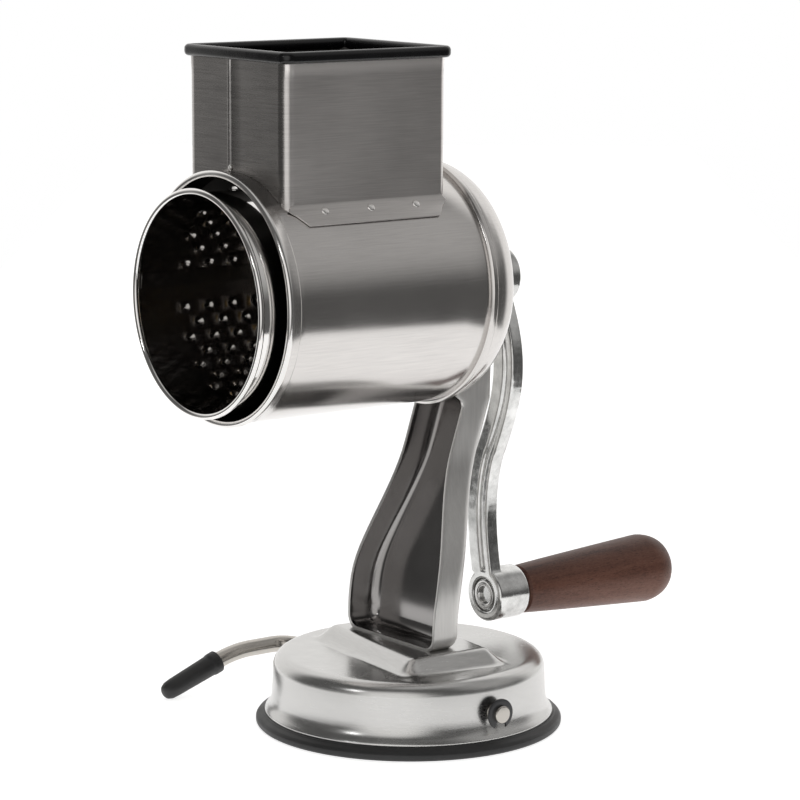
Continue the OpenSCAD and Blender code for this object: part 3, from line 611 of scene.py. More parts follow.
bm = bmesh.new()
end_x = rod_high.x
bmesh.ops.create_circle(bm, segments=32, radius=ROD_R * MM, cap_ends=True,
                        matrix=Matrix.Translation(Vector((end_x, 0, rod_z)) * MM)
                        @ Matrix.Rotation(math.pi / 2, 4, "Y"))
ring = list(bm.edges)
ring = push(bm, ring, (-1, 0, 0), end_x + LEVER_X - BEND_R)
ring = bend(bm, ring, (-LEVER_X + BEND_R, -BEND_R, rod_z), (0, 0, 1), math.pi / 2, 12)
ring = push(bm, ring, (0, -1, 0), LEVEL_RUN)
ring = bend(bm, ring, (-LEVER_X, -BEND_R - LEVEL_RUN, rod_z - DROOP_R), (1, 0, 0), DROOP, 8)
ring = push(bm, ring, (0, -math.cos(DROOP), -math.sin(DROOP)), TAIL)
bmesh.ops.contextual_create(bm, geom=ring)
bmesh.ops.recalc_face_normals(bm, faces=bm.faces)
round_edges(bm, 0.45, segments=3, sharpest=50)
finish_piece("lever_rod_bent", bm, "lever", PLATED_ROD, ["lever_rod"])

# %% [markdown]
# The cap is a soft rubber sleeve that was pushed on the rod. It is spun upright round the Z axis
# first, where its outline is easy to read, and then turned and moved on to the end of the lever.

# %% Rubber cap and retaining clip
CAP_L = 29.0
CAP_R = 4.8
cap_mouth = Vector((-LEVER_X, -BEND_R - LEVEL_RUN - DROOP_R * math.sin(DROOP),
                    rod_z - DROOP_R * (1 - math.cos(DROOP))))
bm = bmesh.new()
lathe(bm, [(ROD_R - 0.1, 1.0), (ROD_R - 0.1, 0), (CAP_R, 0), (CAP_R, 3.6), (CAP_R - 0.35, 4.4),
           (CAP_R - 0.75, CAP_L - 6), (CAP_R - 1.0, CAP_L - 3), (CAP_R - 1.9, CAP_L - 1.0),
           (CAP_R - 3.2, CAP_L - 0.2), (0, CAP_L)], axis="z", steps=48)
round_edges(bm, 0.5, segments=3, sharpest=20)
bmesh.ops.rotate(bm, cent=(0, 0, 0), verts=bm.verts,
                 matrix=Matrix.Rotation(math.pi / 2 + DROOP, 3, "X"))
bmesh.ops.translate(bm, vec=cap_mouth * MM, verts=bm.verts)
finish_piece("lever_rubber_cap", bm, "lever", PAD_RUBBER, ["lever_cap"])

clip_low, clip_high = low_high("lever_clip")
CLIP_R = (clip_high.y - clip_low.y) / 2
CLIP_BORE = ROD_R - 0.7
CLIP_GAP = 2.2
bm = bmesh.new()
lathe(bm, [(CLIP_BORE, clip_low.x), (CLIP_R, clip_low.x), (CLIP_R, clip_high.x), (CLIP_BORE, clip_high.x)],
      axis="x", centre=(0, 0, rod_z), steps=60, closed=True)
gap = [f for f in bm.faces if f.calc_center_median().z / MM < rod_z
       and abs(f.calc_center_median().y / MM) < CLIP_GAP]
bmesh.ops.delete(bm, geom=gap, context="FACES")
bmesh.ops.holes_fill(bm, edges=[e for e in bm.edges if e.is_boundary], sides=4)
round_edges(bm, 0.15, segments=2, sharpest=50)
finish_piece("retaining_clip", bm, "lever", BLACK_STEEL, ["lever_clip"])

# %% [markdown]
# ## The stand
# The stand is pressed from one sheet into a tray with an open front: a web at the back, a flange
# on each side and a floor. A box with its front and top removed is that tray, unbent. Its inner
# corners are bevelled, rows of edges are cut across it, and then each row is moved to the real
# width and lean at its height. This is how a lattice bends a shape, done row by row. Where the
# flanges meet the round back cap, their front edges follow its dome. Solidify gives the sheet its
# thickness, and its material offset gives the inside of the tray a darker colour: painted shade.

# %% Pressed stand
stand_low = low_high("stand")[0]
ring_low, ring_high = low_high("back_cap")
TUBE_Z = middle("back_cap").z
RING_R = ring_high.x
RING_Y = ring_low.y + 3.0
AXIS_Z = middle("drum_back").z
FOOT_HALF = 28.2
NECK_HALF = 15.0
DEPTH = 14.0
FOOT_FRONT = -9.4
RING_MEETS = 130.0
WAIST_Z = 112
WAIST_EASE = 57
LEAN = 0.325
LEAN_FROM = 40
LEAN_FULL = 68
DOME_R = ring_high.x - 0.8
FLAT_R = 21.5
DOME_DEPTH = 20.0
WEB_BACK = 30.0
STAND_SHEET = 1.5
CORNER = 5.5
TRAY_TOP = AXIS_Z + NECK_HALF
tray_rows = [40, 43, 47, 52, *range(56, 117, 4), 119, *(122 + 2.5 * k for k in range(7)), 140, 143, 146.5,
             150, 156, 163, 171, AXIS_Z, 182.5, 185.5, 188, 190, 191.6, 192.8]


def stand_half(z):
    """Half the channel's width: wide at the foot, narrow above the waist."""
    return NECK_HALF + (FOOT_HALF - NECK_HALF) * ease((WAIST_Z - z) / WAIST_EASE)


def stand_front(z):
    """Front edge of the channel: upright at the foot, then leaning back."""
    if z < LEAN_FROM:
        return FOOT_FRONT
    if z < LEAN_FULL:
        return FOOT_FRONT + LEAN * (z - LEAN_FROM) ** 2 / (LEAN_FULL - LEAN_FROM) / 2
    return FOOT_FRONT + LEAN * (LEAN_FULL - LEAN_FROM) / 2 + LEAN * (z - LEAN_FULL)


def stand_place(u, v, z):
    """Real place of a tray point: u across from -1 to 1, v from the front edge 0 to the web 1."""
    half = stand_half(z)
    front = stand_front(z)
    back = min(front + DEPTH, WEB_BACK)
    if z > AXIS_Z:
        half = math.sqrt(max(0.5, NECK_HALF ** 2 - (z - AXIS_Z) ** 2))
    if z > RING_MEETS:
        from_axis = min(DOME_R - 0.5, max(FLAT_R, math.hypot(half, TUBE_Z - z)))
        dome_y = RING_Y + DOME_DEPTH * math.sqrt(1 - ((from_axis - FLAT_R) / (DOME_R - FLAT_R)) ** 2)
        front += (min(front, dome_y - 0.8) - front) * ease((z - RING_MEETS) / 7)
    return Vector((u * half, front + (back - front) * v, z))


bm = bmesh.new()
box(bm, Vector((-FOOT_HALF, 0, stand_low.z)), Vector((FOOT_HALF, DEPTH, TRAY_TOP)))
open_sides = [f for f in bm.faces if f.normal.y < -0.9 or f.normal.z > 0.9]
bmesh.ops.delete(bm, geom=open_sides, context="FACES")
bevel(bm, [e for e in bm.edges if len(e.link_faces) == 2], CORNER, 5)
for height in tray_rows:
    cut(bm, (0, 0, height), (0, 0, 1))
for depth_share in (0.15, 0.32, 0.5):
    cut(bm, (0, depth_share * DEPTH, 0), (0, 1, 0))
for across in (-12, -6, 0, 6, 12):
    cut(bm, (across, 0, 0), (1, 0, 0))
for v in bm.verts:
    v.co = stand_place(v.co.x / MM / FOOT_HALF, v.co.y / MM / DEPTH, v.co.z / MM) * MM
bmesh.ops.recalc_face_normals(bm, faces=bm.faces)
stand = finish_piece("pressed_stand", bm, "root", STAND_STEEL, ["stand"], flat_above=70)
# The second material is the painted shade of the tray's inside.
stand.data.materials.append(STAND_INSIDE_PAINTED_SHADE)
modify(stand, "sheet", "SOLIDIFY", thickness=STAND_SHEET * MM, offset=0, use_even_offset=True,
       material_offset=1)
modify(stand, "rolled edge", "BEVEL", width=0.35 * MM, segments=2, limit_method="ANGLE",
       angle_limit=math.radians(60))

# %% [markdown]
# ## The housing
# The tube's mouth ends in a rolled lip and a narrow collar. The outline follows the outside from
# the rear to the lip, turns round the bead and comes back inside, so the tube has a true wall. The
# faces under the hopper are then removed: cheese falls through there on to the drum. The lip is
# polished, the outside is satin, the inside is painted shade, so the faces take three materials.

# %% Housing tube
tube_low, tube_high = low_high("housing_tube")
LIP_OUT = 1.2
TUBE_R = tube_high.x - LIP_OUT
tube_front = tube_low.y
tube_rear = tube_high.y
hopper_low, hopper_high = low_high("hopper")
HOPPER_HALF = 33.3
hopper_front = hopper_low.y - 0.3
hopper_back = hopper_high.y + 0.3
feed_front = hopper_front + 1.5
feed_back = hopper_back - 1.5
LIP_R = 1.4
SPIN_STEPS = 180

lip_arc = arc(TUBE_R - 0.2, tube_front + LIP_R, LIP_R, -LIP_R, range(-20, 201, 20))
outside = [(TUBE_R, tube_rear), (TUBE_R, feed_back), (TUBE_R, -46), (TUBE_R, feed_front),
           (TUBE_R, tube_front + 8.4), (TUBE_R, tube_front + 6.2), (TUBE_R + 0.35, tube_front + 5.8),
           (TUBE_R + 0.4, tube_front + 3.6)]
inside = [(TUBE_R - 1, y) for y in (tube_front + 4, feed_front, feed_back, tube_rear)]
bm = bmesh.new()
lathe(bm, outside + lip_arc + inside, centre=(0, 0, TUBE_Z), steps=SPIN_STEPS, closed=True)
feed_half = math.degrees(math.asin((HOPPER_HALF - 1.5) / TUBE_R))


def under_hopper(f):
    place = f.calc_center_median() / MM
    angle = math.degrees(math.atan2(abs(place.x), place.z - TUBE_Z))
    return angle < feed_half and feed_front < place.y < feed_back


bmesh.ops.delete(bm, geom=[f for f in bm.faces if under_hopper(f)], context="FACES")
round_edges(bm, 0.12, segments=2, sharpest=25)
# Index 1, the inside, takes the painted shade, and index 2 takes the polished lip.
for f in bm.faces:
    place = f.calc_center_median() / MM
    inner = math.hypot(place.x, place.z - TUBE_Z) < TUBE_R - 0.5 and place.y > tube_front + 2.5
    lip = place.y < tube_front + 2.3
    f.material_index = 1 if inner else 2 if lip else 0
housing = finish_piece("housing_body", bm, "root", TUBE_STEEL, ["housing_tube"],
                       flat_above=35)
housing.data.materials.append(TUBE_INSIDE_PAINTED_SHADE)
housing.data.materials.append(LIP_STEEL)

# %% [markdown]
# The back cap is a spun dome with a narrow raised ring where it grips the tube. The dark groove
# between ring and tube is real: the ring's edge stands proud and casts a shadow.

# %% Back cap
BOSS_R = 14.0
dome_back = RING_Y + DOME_DEPTH
dome_end = ring_high.y
dome = arc(FLAT_R, RING_Y, DOME_R - FLAT_R, DOME_DEPTH, range(0, 91, 5))
bm = bmesh.new()
lathe(bm, [(DOME_R - 1.2, ring_low.y), (RING_R - 0.9, ring_low.y), (RING_R, ring_low.y + 0.7),
           (RING_R, RING_Y - 0.6), (RING_R - 0.7, RING_Y - 0.05), (DOME_R + 0.3, RING_Y)] + dome[1:]
      + [(BOSS_R + 1.5, dome_back), (BOSS_R + 0.4, dome_back + 0.4), (BOSS_R, dome_back + 1.5),
         (BOSS_R, dome_end - 1), (BOSS_R - 1, dome_end), (0, dome_end)],
      centre=(0, 0, TUBE_Z), steps=SPIN_STEPS)
round_edges(bm, 0.25, segments=2, sharpest=25)
finish_piece("domed_back_cap", bm, "root", TUBE_STEEL, ["back_cap"], flat_above=45)

# %% [markdown]
# ## The hopper
# The hopper is a strip of sheet bent round into a square and lapped at the front. A square outline
# with bevelled corners is extruded downwards, and its lowest row is dropped on to the tube. The
# long sides then turn out into flanges that follow the tube's curve, with their corners cut off.

# %% Hopper walls
HOPPER_TOP = hopper_high.z
FOLD_Z = TUBE_Z + math.sqrt(TUBE_R ** 2 - HOPPER_HALF ** 2)
CORNER_R = 4.3
SEAM_X = -3.5
LAP = 0.8
FOLD_R = 6.0
hopper_mid = (hopper_front + hopper_back) / 2
hopper_rows = [HOPPER_TOP - down for down in (4.5, 6, 7.5, 9, 10.5, 25, 40)] + [FOLD_Z + 5, FOLD_Z]


def wall_foot(x):
    """Height at which a wall meets the tube, in mm."""
    return TUBE_Z + math.sqrt(max(0, (TUBE_R + 0.1) ** 2 - min(abs(x), HOPPER_HALF) ** 2))


bm = bmesh.new()
corners = [(-HOPPER_HALF, hopper_front), (SEAM_X - 1.6, hopper_front), (SEAM_X - 1.0, hopper_front - LAP),
           (SEAM_X + 0.2, hopper_front - LAP), (SEAM_X + 1.0, hopper_front - 0.3),
           (HOPPER_HALF, hopper_front - 0.3), (HOPPER_HALF, hopper_back), (-HOPPER_HALF, hopper_back)]
verts = [bm.verts.new(Vector((x, y, HOPPER_TOP)) * MM) for x, y in corners]
ring = [bm.edges.new(pair) for pair in zip(verts, verts[1:] + verts[:1])]
ring = push(bm, ring, (0, 0, -1), 0.5)
bevel(bm, [e for e in bm.edges if abs(e.verts[0].co.z - e.verts[1].co.z) > 0.1 * MM
           and abs(e.verts[0].co.x) > 30 * MM], CORNER_R, 5)
for x in (-28, -22, -16, -10, 4, 10, 16, 22, 28):
    cut(bm, (x, 0, 0), (1, 0, 0))
for height in hopper_rows:
    lowest = min(v.co.z for v in bm.verts)
    ring = [e for e in bm.edges if max(v.co.z for v in e.verts) < lowest + 1e-5]
    push(bm, ring, (0, 0, -1), lowest / MM - height)
lowest = min(v.co.z for v in bm.verts)
for v in bm.verts:
    if v.co.z < lowest + 1e-5:
        v.co.z = max(FOLD_Z, wall_foot(v.co.x / MM)) * MM
    elif wall_foot(v.co.x / MM) * MM > v.co.z - 2 * MM:
        v.co.z = (wall_foot(v.co.x / MM) + 2) * MM
WAIST = 0.45
for v in bm.verts:
    inward = WAIST * ease((HOPPER_TOP - 4.5 - v.co.z / MM) / 6)
    v.co.x -= math.copysign(inward * MM, v.co.x) if abs(v.co.x) > 28.5 * MM else 0

long_sides = [e for e in bm.edges if e.is_boundary
              and all(abs(v.co.x) > (HOPPER_HALF - 1) * MM for v in e.verts)
              and all(v.co.z < (FOLD_Z + 1) * MM for v in e.verts)
              and all(hopper_front + CORNER_R - 0.8 < v.co.y / MM < hopper_back - CORNER_R + 0.8
                      for v in e.verts)]
FLANGE_ANGLE = math.radians(7.3)
FLANGE_CHAMFER = 7.5
FLANGE_R = TUBE_R + 0.9
fold = math.asin(HOPPER_HALF / TUBE_R)
fold_end_x = HOPPER_HALF - WAIST + FOLD_R * (1 - math.sin(fold))
fold_end = math.asin(fold_end_x / FLANGE_R)
fold_top = TUBE_Z + FLANGE_R * math.cos(fold_end) + FOLD_R * math.cos(fold)
turn_by = math.pi / 2 - fold
flange = [(HOPPER_HALF - WAIST + FOLD_R * (1 - math.cos(a)), fold_top - FOLD_R * math.sin(a))
          for a in (turn_by * k / 5 for k in range(6))]
flange += [(FLANGE_R * math.sin(a), TUBE_Z + FLANGE_R * math.cos(a))
           for a in (fold_end + (fold + FLANGE_ANGLE - fold_end) * k / 3 for k in range(1, 4))]
for v in {v for e in long_sides for v in e.verts}:
    v.co.z = flange[0][1] * MM
ring = long_sides
for step, (x, z) in enumerate(flange[1:], 1):
    made = bmesh.ops.extrude_edge_only(bm, edges=ring)["geom"]
    ring = [g for g in made if isinstance(g, bmesh.types.BMEdge) and g.is_boundary]
    share = step / (len(flange) - 1)
    reach = (hopper_back - hopper_front) / 2 - CORNER_R + CORNER_R * min(1, share * 2.5) \
        - FLANGE_CHAMFER * max(0, share - 0.3) / 0.7
    for v in [g for g in made if isinstance(g, bmesh.types.BMVert)]:
        along = v.co.y / MM - hopper_mid
        v.co = Vector((math.copysign(x, v.co.x), hopper_mid + math.copysign(reach, along), z)) * MM
    ring = [e for e in ring if abs(e.verts[0].co.y - e.verts[1].co.y) > 20 * MM]
bmesh.ops.recalc_face_normals(bm, faces=bm.faces)
# Faces looking to the front take index 1, the front's painted shade.
for f in bm.faces:
    f.material_index = 1 if f.normal.y < -0.85 else 0
hopper = finish_piece("hopper_walls", bm, "root", HOPPER_STEEL, ["hopper"], flat_above=35)
# Solidify's inner faces take indices 2 and 3, the painted shade of the inside.
for paint in (HOPPER_FRONT_PAINTED_SHADE, HOPPER_INSIDE_PAINTED_SHADE, HOPPER_INSIDE_PAINTED_SHADE):
    hopper.data.materials.append(paint)
modify(hopper, "sheet", "SOLIDIFY", thickness=0.8 * MM, offset=-1, material_offset=2)
modify(hopper, "folds", "BEVEL", width=0.5 * MM, segments=3, limit_method="ANGLE",
       angle_limit=math.radians(30))

# %% [markdown]
# Three spot welds hold each flange. Each is a shallow round dimple in the steel, so it is a small
# bead of its own: a ball that is squashed flat and turned to face out of the tube.

# %% Spot welds
WELD_R = 1.6
WELD_PLACES = [-66.5, -45.0, -23.6]
SEAM_WELD_Z = 229.6
weld_turn = turn_by * 0.78
bm = bmesh.new()
for sign in (-1, 1):
    for y in WELD_PLACES:
        angle = sign * (math.pi / 2 - weld_turn)
        fold_middle = Vector((sign * (HOPPER_HALF - WAIST + FOLD_R), y, fold_top))
        inward = Vector((-sign * math.cos(weld_turn), 0, -math.sin(weld_turn)))
        place = Matrix.Translation((fold_middle + inward * FOLD_R) * MM)
        squash = Matrix.Rotation(angle, 4, "Y") @ Matrix.Diagonal((WELD_R, WELD_R, 0.75, 1))
        bmesh.ops.create_uvsphere(bm, u_segments=32, v_segments=16, radius=MM, matrix=place @ squash)
seam_weld = Matrix.Translation(Vector((SEAM_X + 0.6, hopper_front - 0.7, SEAM_WELD_Z)) * MM)
bmesh.ops.create_uvsphere(bm, u_segments=16, v_segments=8, radius=MM,
                          matrix=seam_weld @ Matrix.Diagonal((0.9, 0.5, 1.2, 1)))
finish_piece("spot_welds", bm, "root", WELD_STEEL)

# %% [markdown]
# The black edging is a moulded channel pushed over the hopper's raw top edge. A bevelled box with
# its middle taken out has the right section: the outer edges are well rounded, the inner are not.

# %% Black edging
rim_low, rim_high = low_high("hopper_rim")
RIM_WIDTH = 3.8
RIM_CORNER = 4.6
swell = Vector((0.9, 0.9, 0))
bm = bmesh.new()
box(bm, rim_low - swell, rim_high + swell)
bevel(bm, [e for e in bm.edges if abs(e.verts[0].co.z - e.verts[1].co.z) > MM], RIM_CORNER, 6)
caps = [f for f in bm.faces if abs(f.normal.z) > 0.9]
bmesh.ops.inset_individual(bm, faces=caps, thickness=RIM_WIDTH * MM, use_even_offset=True)
loops = [e for f in caps for e in f.edges]
bmesh.ops.delete(bm, geom=caps, context="FACES_ONLY")
bmesh.ops.bridge_loops(bm, edges=[e for e in loops if e.is_valid])
bmesh.ops.recalc_face_normals(bm, faces=bm.faces)
round_edges(bm, 1.7, segments=5, sharpest=60)
finish_piece("black_edging", bm, "root", EDGE_RUBBER, ["hopper_rim"], flat_above=50)

# %% [markdown]
# ## The drum
# The drum is a perforated strip, rolled up and lapped. It is made that way: one grating tooth is
# shaped on a small flat tile, by insetting the tile's face and pushing each inset ring to a circle
# and outwards. Copies of the tile fill a flat sheet, with every second row moved by half a pitch.
# The sheet is then rolled round the axis. Each tile has few faces, because there are hundreds.

# %% One tooth on a flat tile
DRUM_R = 42.2
PITCH = 11.2
ROW_ANGLE = 8.4
ROWS = 41
TEETH = 7
PLAIN = 17.4
row_width = math.radians(ROW_ANGLE) * DRUM_R
drum_low, drum_high = low_high("drum_shell")
drum_front = drum_low.y
drum_back = drum_high.y
luck = random.Random(4)
TOOTH = [(2.75, 0.0), (2.35, 0.25), (1.8, 0.85), (1.25, 1.2), (0.9, 1.35)]


def blank(bm, u, v, across, along):
    """A flat patch of sheet at (u, v). Its cells are half a row wide and a quarter pitch long."""
    cell = Matrix.Diagonal((across * row_width / 4 * MM, along * PITCH / 8 * MM, 1, 1))
    centre = Matrix.Translation(Vector((u + across * row_width / 4, v + along * PITCH / 8, 0)) * MM)
    bmesh.ops.create_grid(bm, x_segments=across, y_segments=along, size=1, matrix=centre @ cell)


tile = bmesh.new()
blank(tile, 0, 0, 2, 4)
face = bmesh.ops.dissolve_faces(tile, faces=tile.faces[:])["region"][0]
tile_centre = Vector((row_width / 2, PITCH / 2, 0)) * MM
for radius, height in TOOTH:
    bmesh.ops.inset_individual(tile, faces=[face], thickness=0.3 * MM)
    for v in face.verts:
        spoke = v.co - tile_centre
        spoke.z = 0
        v.co = tile_centre + (spoke.normalized() * radius + Vector((0, 0, height))) * MM
bmesh.ops.delete(tile, geom=[face], context="FACES_ONLY")
tile_data = bpy.data.meshes.new("tooth_tile")
tile.to_mesh(tile_data)
print("one tooth:", len(tile.faces), "faces, boundary", sum(e.is_boundary for e in tile.edges))
tile.free()

# %% Fill the sheet with teeth
teeth_start = drum_front + PLAIN
teeth_end = teeth_start + (TEETH + 0.5) * PITCH
bm = bmesh.new()
for row in range(ROWS):
    u = row * row_width
    shift = PITCH / 2 * (row % 2)
    for k in range(TEETH):
        first_new = len(bm.verts)
        bm.from_mesh(tile_data)
        bm.verts.ensure_lookup_table()
        added = bm.verts[first_new:]
        for v in added:
            if v.co.z > 1.3 * MM:
                v.co += Vector((luck.uniform(-0.16, 0.16), luck.uniform(-0.16, 0.16),
                                luck.uniform(-0.35, 0.3))) * MM
        bmesh.ops.translate(bm, vec=Vector((u, teeth_start + shift + k * PITCH, 0)) * MM, verts=added)
    blank(bm, u, teeth_start if row % 2 else teeth_end - PITCH / 2, 2, 2)
bpy.data.meshes.remove(tile_data)
print("sheet with teeth:", len(bm.faces), "faces")

# %% [markdown]
# The strip has no teeth near its lap, so a plain stretch closes the circle. Once the sheet is
# rolled and its edges are welded, the plain band at the mouth is pushed out of the front edge, and
# the same is done at the back. The rolled bead and the lap strip follow as pieces of their own.

# %% Roll the sheet and add its plain bands
ROLL_START = math.radians(9.3)
PLAIN_STEPS = 4
plain_cells = 4
strip_end = ROWS * row_width
gap_width = math.tau * DRUM_R - strip_end
first_new = len(bm.verts)
blank(bm, strip_end, teeth_start, plain_cells, 4 * TEETH + 2)
bm.verts.ensure_lookup_table()
for v in bm.verts[first_new:]:
    share = (v.co.x / MM - strip_end) / (plain_cells * row_width / 2)
    v.co.x = (strip_end + share * gap_width) * MM
for v in bm.verts:
    angle = ROLL_START + v.co.x / MM / DRUM_R
    radius = DRUM_R + v.co.z / MM
    v.co = Vector((-radius * math.cos(angle), v.co.y / MM, AXIS_Z + radius * math.sin(angle))) * MM
bmesh.ops.remove_doubles(bm, verts=bm.verts, dist=0.02 * MM)


def end_ring(bm, y):
    return [e for e in bm.edges if e.is_boundary and all(abs(v.co.y / MM - y) < 0.05 for v in e.verts)]


ring = end_ring(bm, teeth_start)
for step in range(PLAIN_STEPS):
    ring = push(bm, ring, (0, -1, 0), (PLAIN - 1.5) / PLAIN_STEPS)
ring = end_ring(bm, teeth_end)
for step in range(2):
    ring = push(bm, ring, (0, 1, 0), (drum_back - teeth_end) / 2)
bmesh.ops.recalc_face_normals(bm, faces=bm.faces)
outward = sum(f.normal.dot(f.calc_center_median() - Vector((0, f.calc_center_median().y, AXIS_Z * MM)))
              for f in bm.faces)
if outward < 0:
    bmesh.ops.reverse_faces(bm, faces=bm.faces[:])
bmesh.ops.solidify(bm, geom=bm.faces[:], thickness=0.55 * MM)
# Faces that look into the drum take index 1, the painted shade of the inside.
for f in bm.faces:
    middle_point = f.calc_center_median()
    spoke = Vector((middle_point.x, 0, middle_point.z - AXIS_Z * MM)).normalized()
    f.material_index = 1 if f.normal.dot(spoke) < -0.2 else 0
drum = finish_piece("toothed_drum", bm, "drum", DRUM_STEEL, ["drum_shell"], flat_above=50)
drum.data.materials.append(DRUM_INSIDE_PAINTED_SHADE)

# %% Rolled mouth and lap strip of the drum
BEAD_R = 1.25
LAP_FROM = math.radians(2)
LAP_ANGLE = math.radians(8)
bm = bmesh.new()
bead = arc(DRUM_R + 0.5, drum_front + BEAD_R, BEAD_R, BEAD_R, range(0, 360, 20))
lathe(bm, bead, centre=(0, 0, AXIS_Z), steps=SPIN_STEPS, closed=True)
finish_piece("drum_rolled_mouth", bm, "drum", DRUM_STEEL)

bm = bmesh.new()
lap_r = DRUM_R - 1.0
ends = [bm.verts.new(Vector((-lap_r * math.cos(LAP_FROM), y, AXIS_Z + lap_r * math.sin(LAP_FROM))) * MM)
        for y in (drum_front + 2.5, drum_back - 1.5)]
lap_edge = bm.edges.new(ends)
bmesh.ops.spin(bm, geom=ends + [lap_edge], cent=Vector((0, 0, AXIS_Z)) * MM, axis=(0, 1, 0),
               angle=LAP_ANGLE, steps=6, use_merge=False, use_duplicate=False)
bmesh.ops.recalc_face_normals(bm, faces=bm.faces)
bmesh.ops.solidify(bm, geom=bm.faces[:], thickness=0.45 * MM)
round_edges(bm, 0.12, segments=2, sharpest=50)
# The lap strip lies inside the drum and takes the inside's painted shade.
finish_piece("drum_lap_strip", bm, "drum", DRUM_INSIDE_PAINTED_SHADE)

# %% [markdown]
# The back of the drum is a pressed plate with a raised ring, which stiffens it. A square brass
# socket on it is held by four rivets and takes the end of the drive shaft.

# %% Drum back plate
plate_low, plate_high = low_high("drum_back")
plate_r = plate_high.x
RIB_R = 27.0
RIB_HALF = 3.2
RIB_DEPTH = 1.8
SOCKET_R = 10.0
face_y = plate_low.y
bm = bmesh.new()
rib = arc(RIB_R, face_y, RIB_HALF, -RIB_DEPTH, range(0, 181, 20))
lathe(bm, [(plate_r - 0.3, face_y)] + rib + [(SOCKET_R, face_y)], centre=(0, 0, AXIS_Z), steps=SPIN_STEPS)
bmesh.ops.solidify(bm, geom=bm.faces[:], thickness=0.9 * MM)
finish_piece("drum_back_plate", bm, "drum", DRUM_STEEL, ["drum_back"], flat_above=45)

# %% [markdown]
# ## The crank
# The crank is cast in one piece, so its arm, hub and boss flow into each other. The arm is a grooved
# outline pushed down along its double curve, and the hub and boss are turned. Where they overlap, a
# voxel remesh joins the three into one skin, and a little smoothing leaves the soft inner corners
# that every casting has. The voxels are finer than the groove is wide, so the groove survives.

# %% Cast crank
crank_low, crank_high = low_high("crank_arm")
GRIP_Z = middle("grip_spindle").z
CRANK_R = AXIS_Z - GRIP_Z
arm_front = crank_low.y
boss_back = crank_high.y
HUB_R = 11.5
HUB_L = 9.6
GRIP_BOSS_R = 11.0
RECESS_R = 7.0
ARM_HALF = 6.5
ARM_T = 6.0
ARM_SWELL = 11.0
ARM_RETURN = 5.0
ARM_CROSS = 0.545
ARM_LEAN = 0.8
ARM_STEPS = 44
VOXEL = 0.42


def arm_x(s):
    """Sideways place of the arm's middle, where s runs from 0 at the hub to 1 at the boss."""
    if s < ARM_CROSS:
        return ARM_SWELL * math.sin(math.pi * s / ARM_CROSS)
    return -ARM_RETURN * math.sin(math.pi * ((s - ARM_CROSS) / (1 - ARM_CROSS)) ** ARM_LEAN)


arm_section = [(-ARM_HALF, 0.5), (-ARM_HALF + 0.5, 0.0), (0.2, 0.0), (1.0, 1.3), (2.4, 1.3),
               (3.0, 0.2), (3.4, 0.0), (ARM_HALF - 0.5, 0.0), (ARM_HALF, 0.5), (ARM_HALF, ARM_T - 0.6),
               (ARM_HALF - 0.6, ARM_T), (0.8, ARM_T), (0.5, ARM_T - 0.7),
               (-0.5, ARM_T - 0.7), (-0.8, ARM_T), (-ARM_HALF + 0.6, ARM_T),
               (-ARM_HALF, ARM_T - 0.6)]
arm_from = 6.0 / CRANK_R
arm_to = 1 - 8.6 / CRANK_R
bm = bmesh.new()
section = [bm.verts.new(Vector((x + arm_x(arm_from), arm_front + y, AXIS_Z - arm_from * CRANK_R)) * MM)
           for x, y in arm_section]
ring = [bm.edges.new(pair) for pair in zip(section, section[1:] + section[:1])]
bmesh.ops.contextual_create(bm, geom=ring)
for step in range(ARM_STEPS):
    before = arm_from + (arm_to - arm_from) * step / ARM_STEPS
    after = arm_from + (arm_to - arm_from) * (step + 1) / ARM_STEPS
    ring = push(bm, ring, (arm_x(after) - arm_x(before), 0, (before - after) * CRANK_R), 1)
bmesh.ops.contextual_create(bm, geom=ring)
lathe(bm, [(0, arm_front), (HUB_R - 0.8, arm_front), (HUB_R, arm_front + 0.8),
           (HUB_R, arm_front + HUB_L - 1),
           (HUB_R - 1, arm_front + HUB_L), (5.2, arm_front + HUB_L), (5.2, arm_front + HUB_L - 1.2),
           (0, arm_front + HUB_L - 1.2)], centre=(0, 0, AXIS_Z), steps=96)
lathe(bm, [(0, arm_front + 1.7), (RECESS_R, arm_front + 1.7), (RECESS_R, arm_front),
           (GRIP_BOSS_R - 0.9, arm_front), (GRIP_BOSS_R, arm_front + 0.9),
           (GRIP_BOSS_R, boss_back - 0.6), (GRIP_BOSS_R - 0.6, boss_back), (0, boss_back)],
      centre=(0, 0, GRIP_Z), steps=96)
bmesh.ops.recalc_face_normals(bm, faces=bm.faces)
crank = finish_piece("cast_crank", bm, "crank", CAST_ALUMINIUM, ["crank_arm"],
                     flat_above=180)
modify(crank, "casting", "REMESH", mode="VOXEL", voxel_size=VOXEL * MM, use_smooth_shade=True)
modify(crank, "soft corners", "SMOOTH", factor=0.5, iterations=3)

# %% [markdown]
# The grip turns on a hollow steel spindle that is riveted over in the boss. Its rolled end is the
# bright ring in the boss's face, and its bore is open.

# %% Hollow rivet, washers and screw
SPINDLE_BORE = 3.4
RIVET_R = 5.85
bm = bmesh.new()
lathe(bm, [(SPINDLE_BORE, arm_front + 12), (SPINDLE_BORE, arm_front + 1.0),
           (SPINDLE_BORE + 0.5, arm_front + 0.25), (SPINDLE_BORE + 1.1, arm_front - 0.05),
           (RIVET_R - 0.5, arm_front + 0.1), (RIVET_R, arm_front + 0.7),
           (RIVET_R, arm_front + 1.6), (4.5, arm_front + 1.9), (4.5, arm_front + 12)],
      centre=(0, 0, GRIP_Z), steps=64, closed=True)
round_edges(bm, 0.15, segments=2, sharpest=25)
finish_piece("spindle_rolled_end", bm, "crank", TURNED_STEEL)

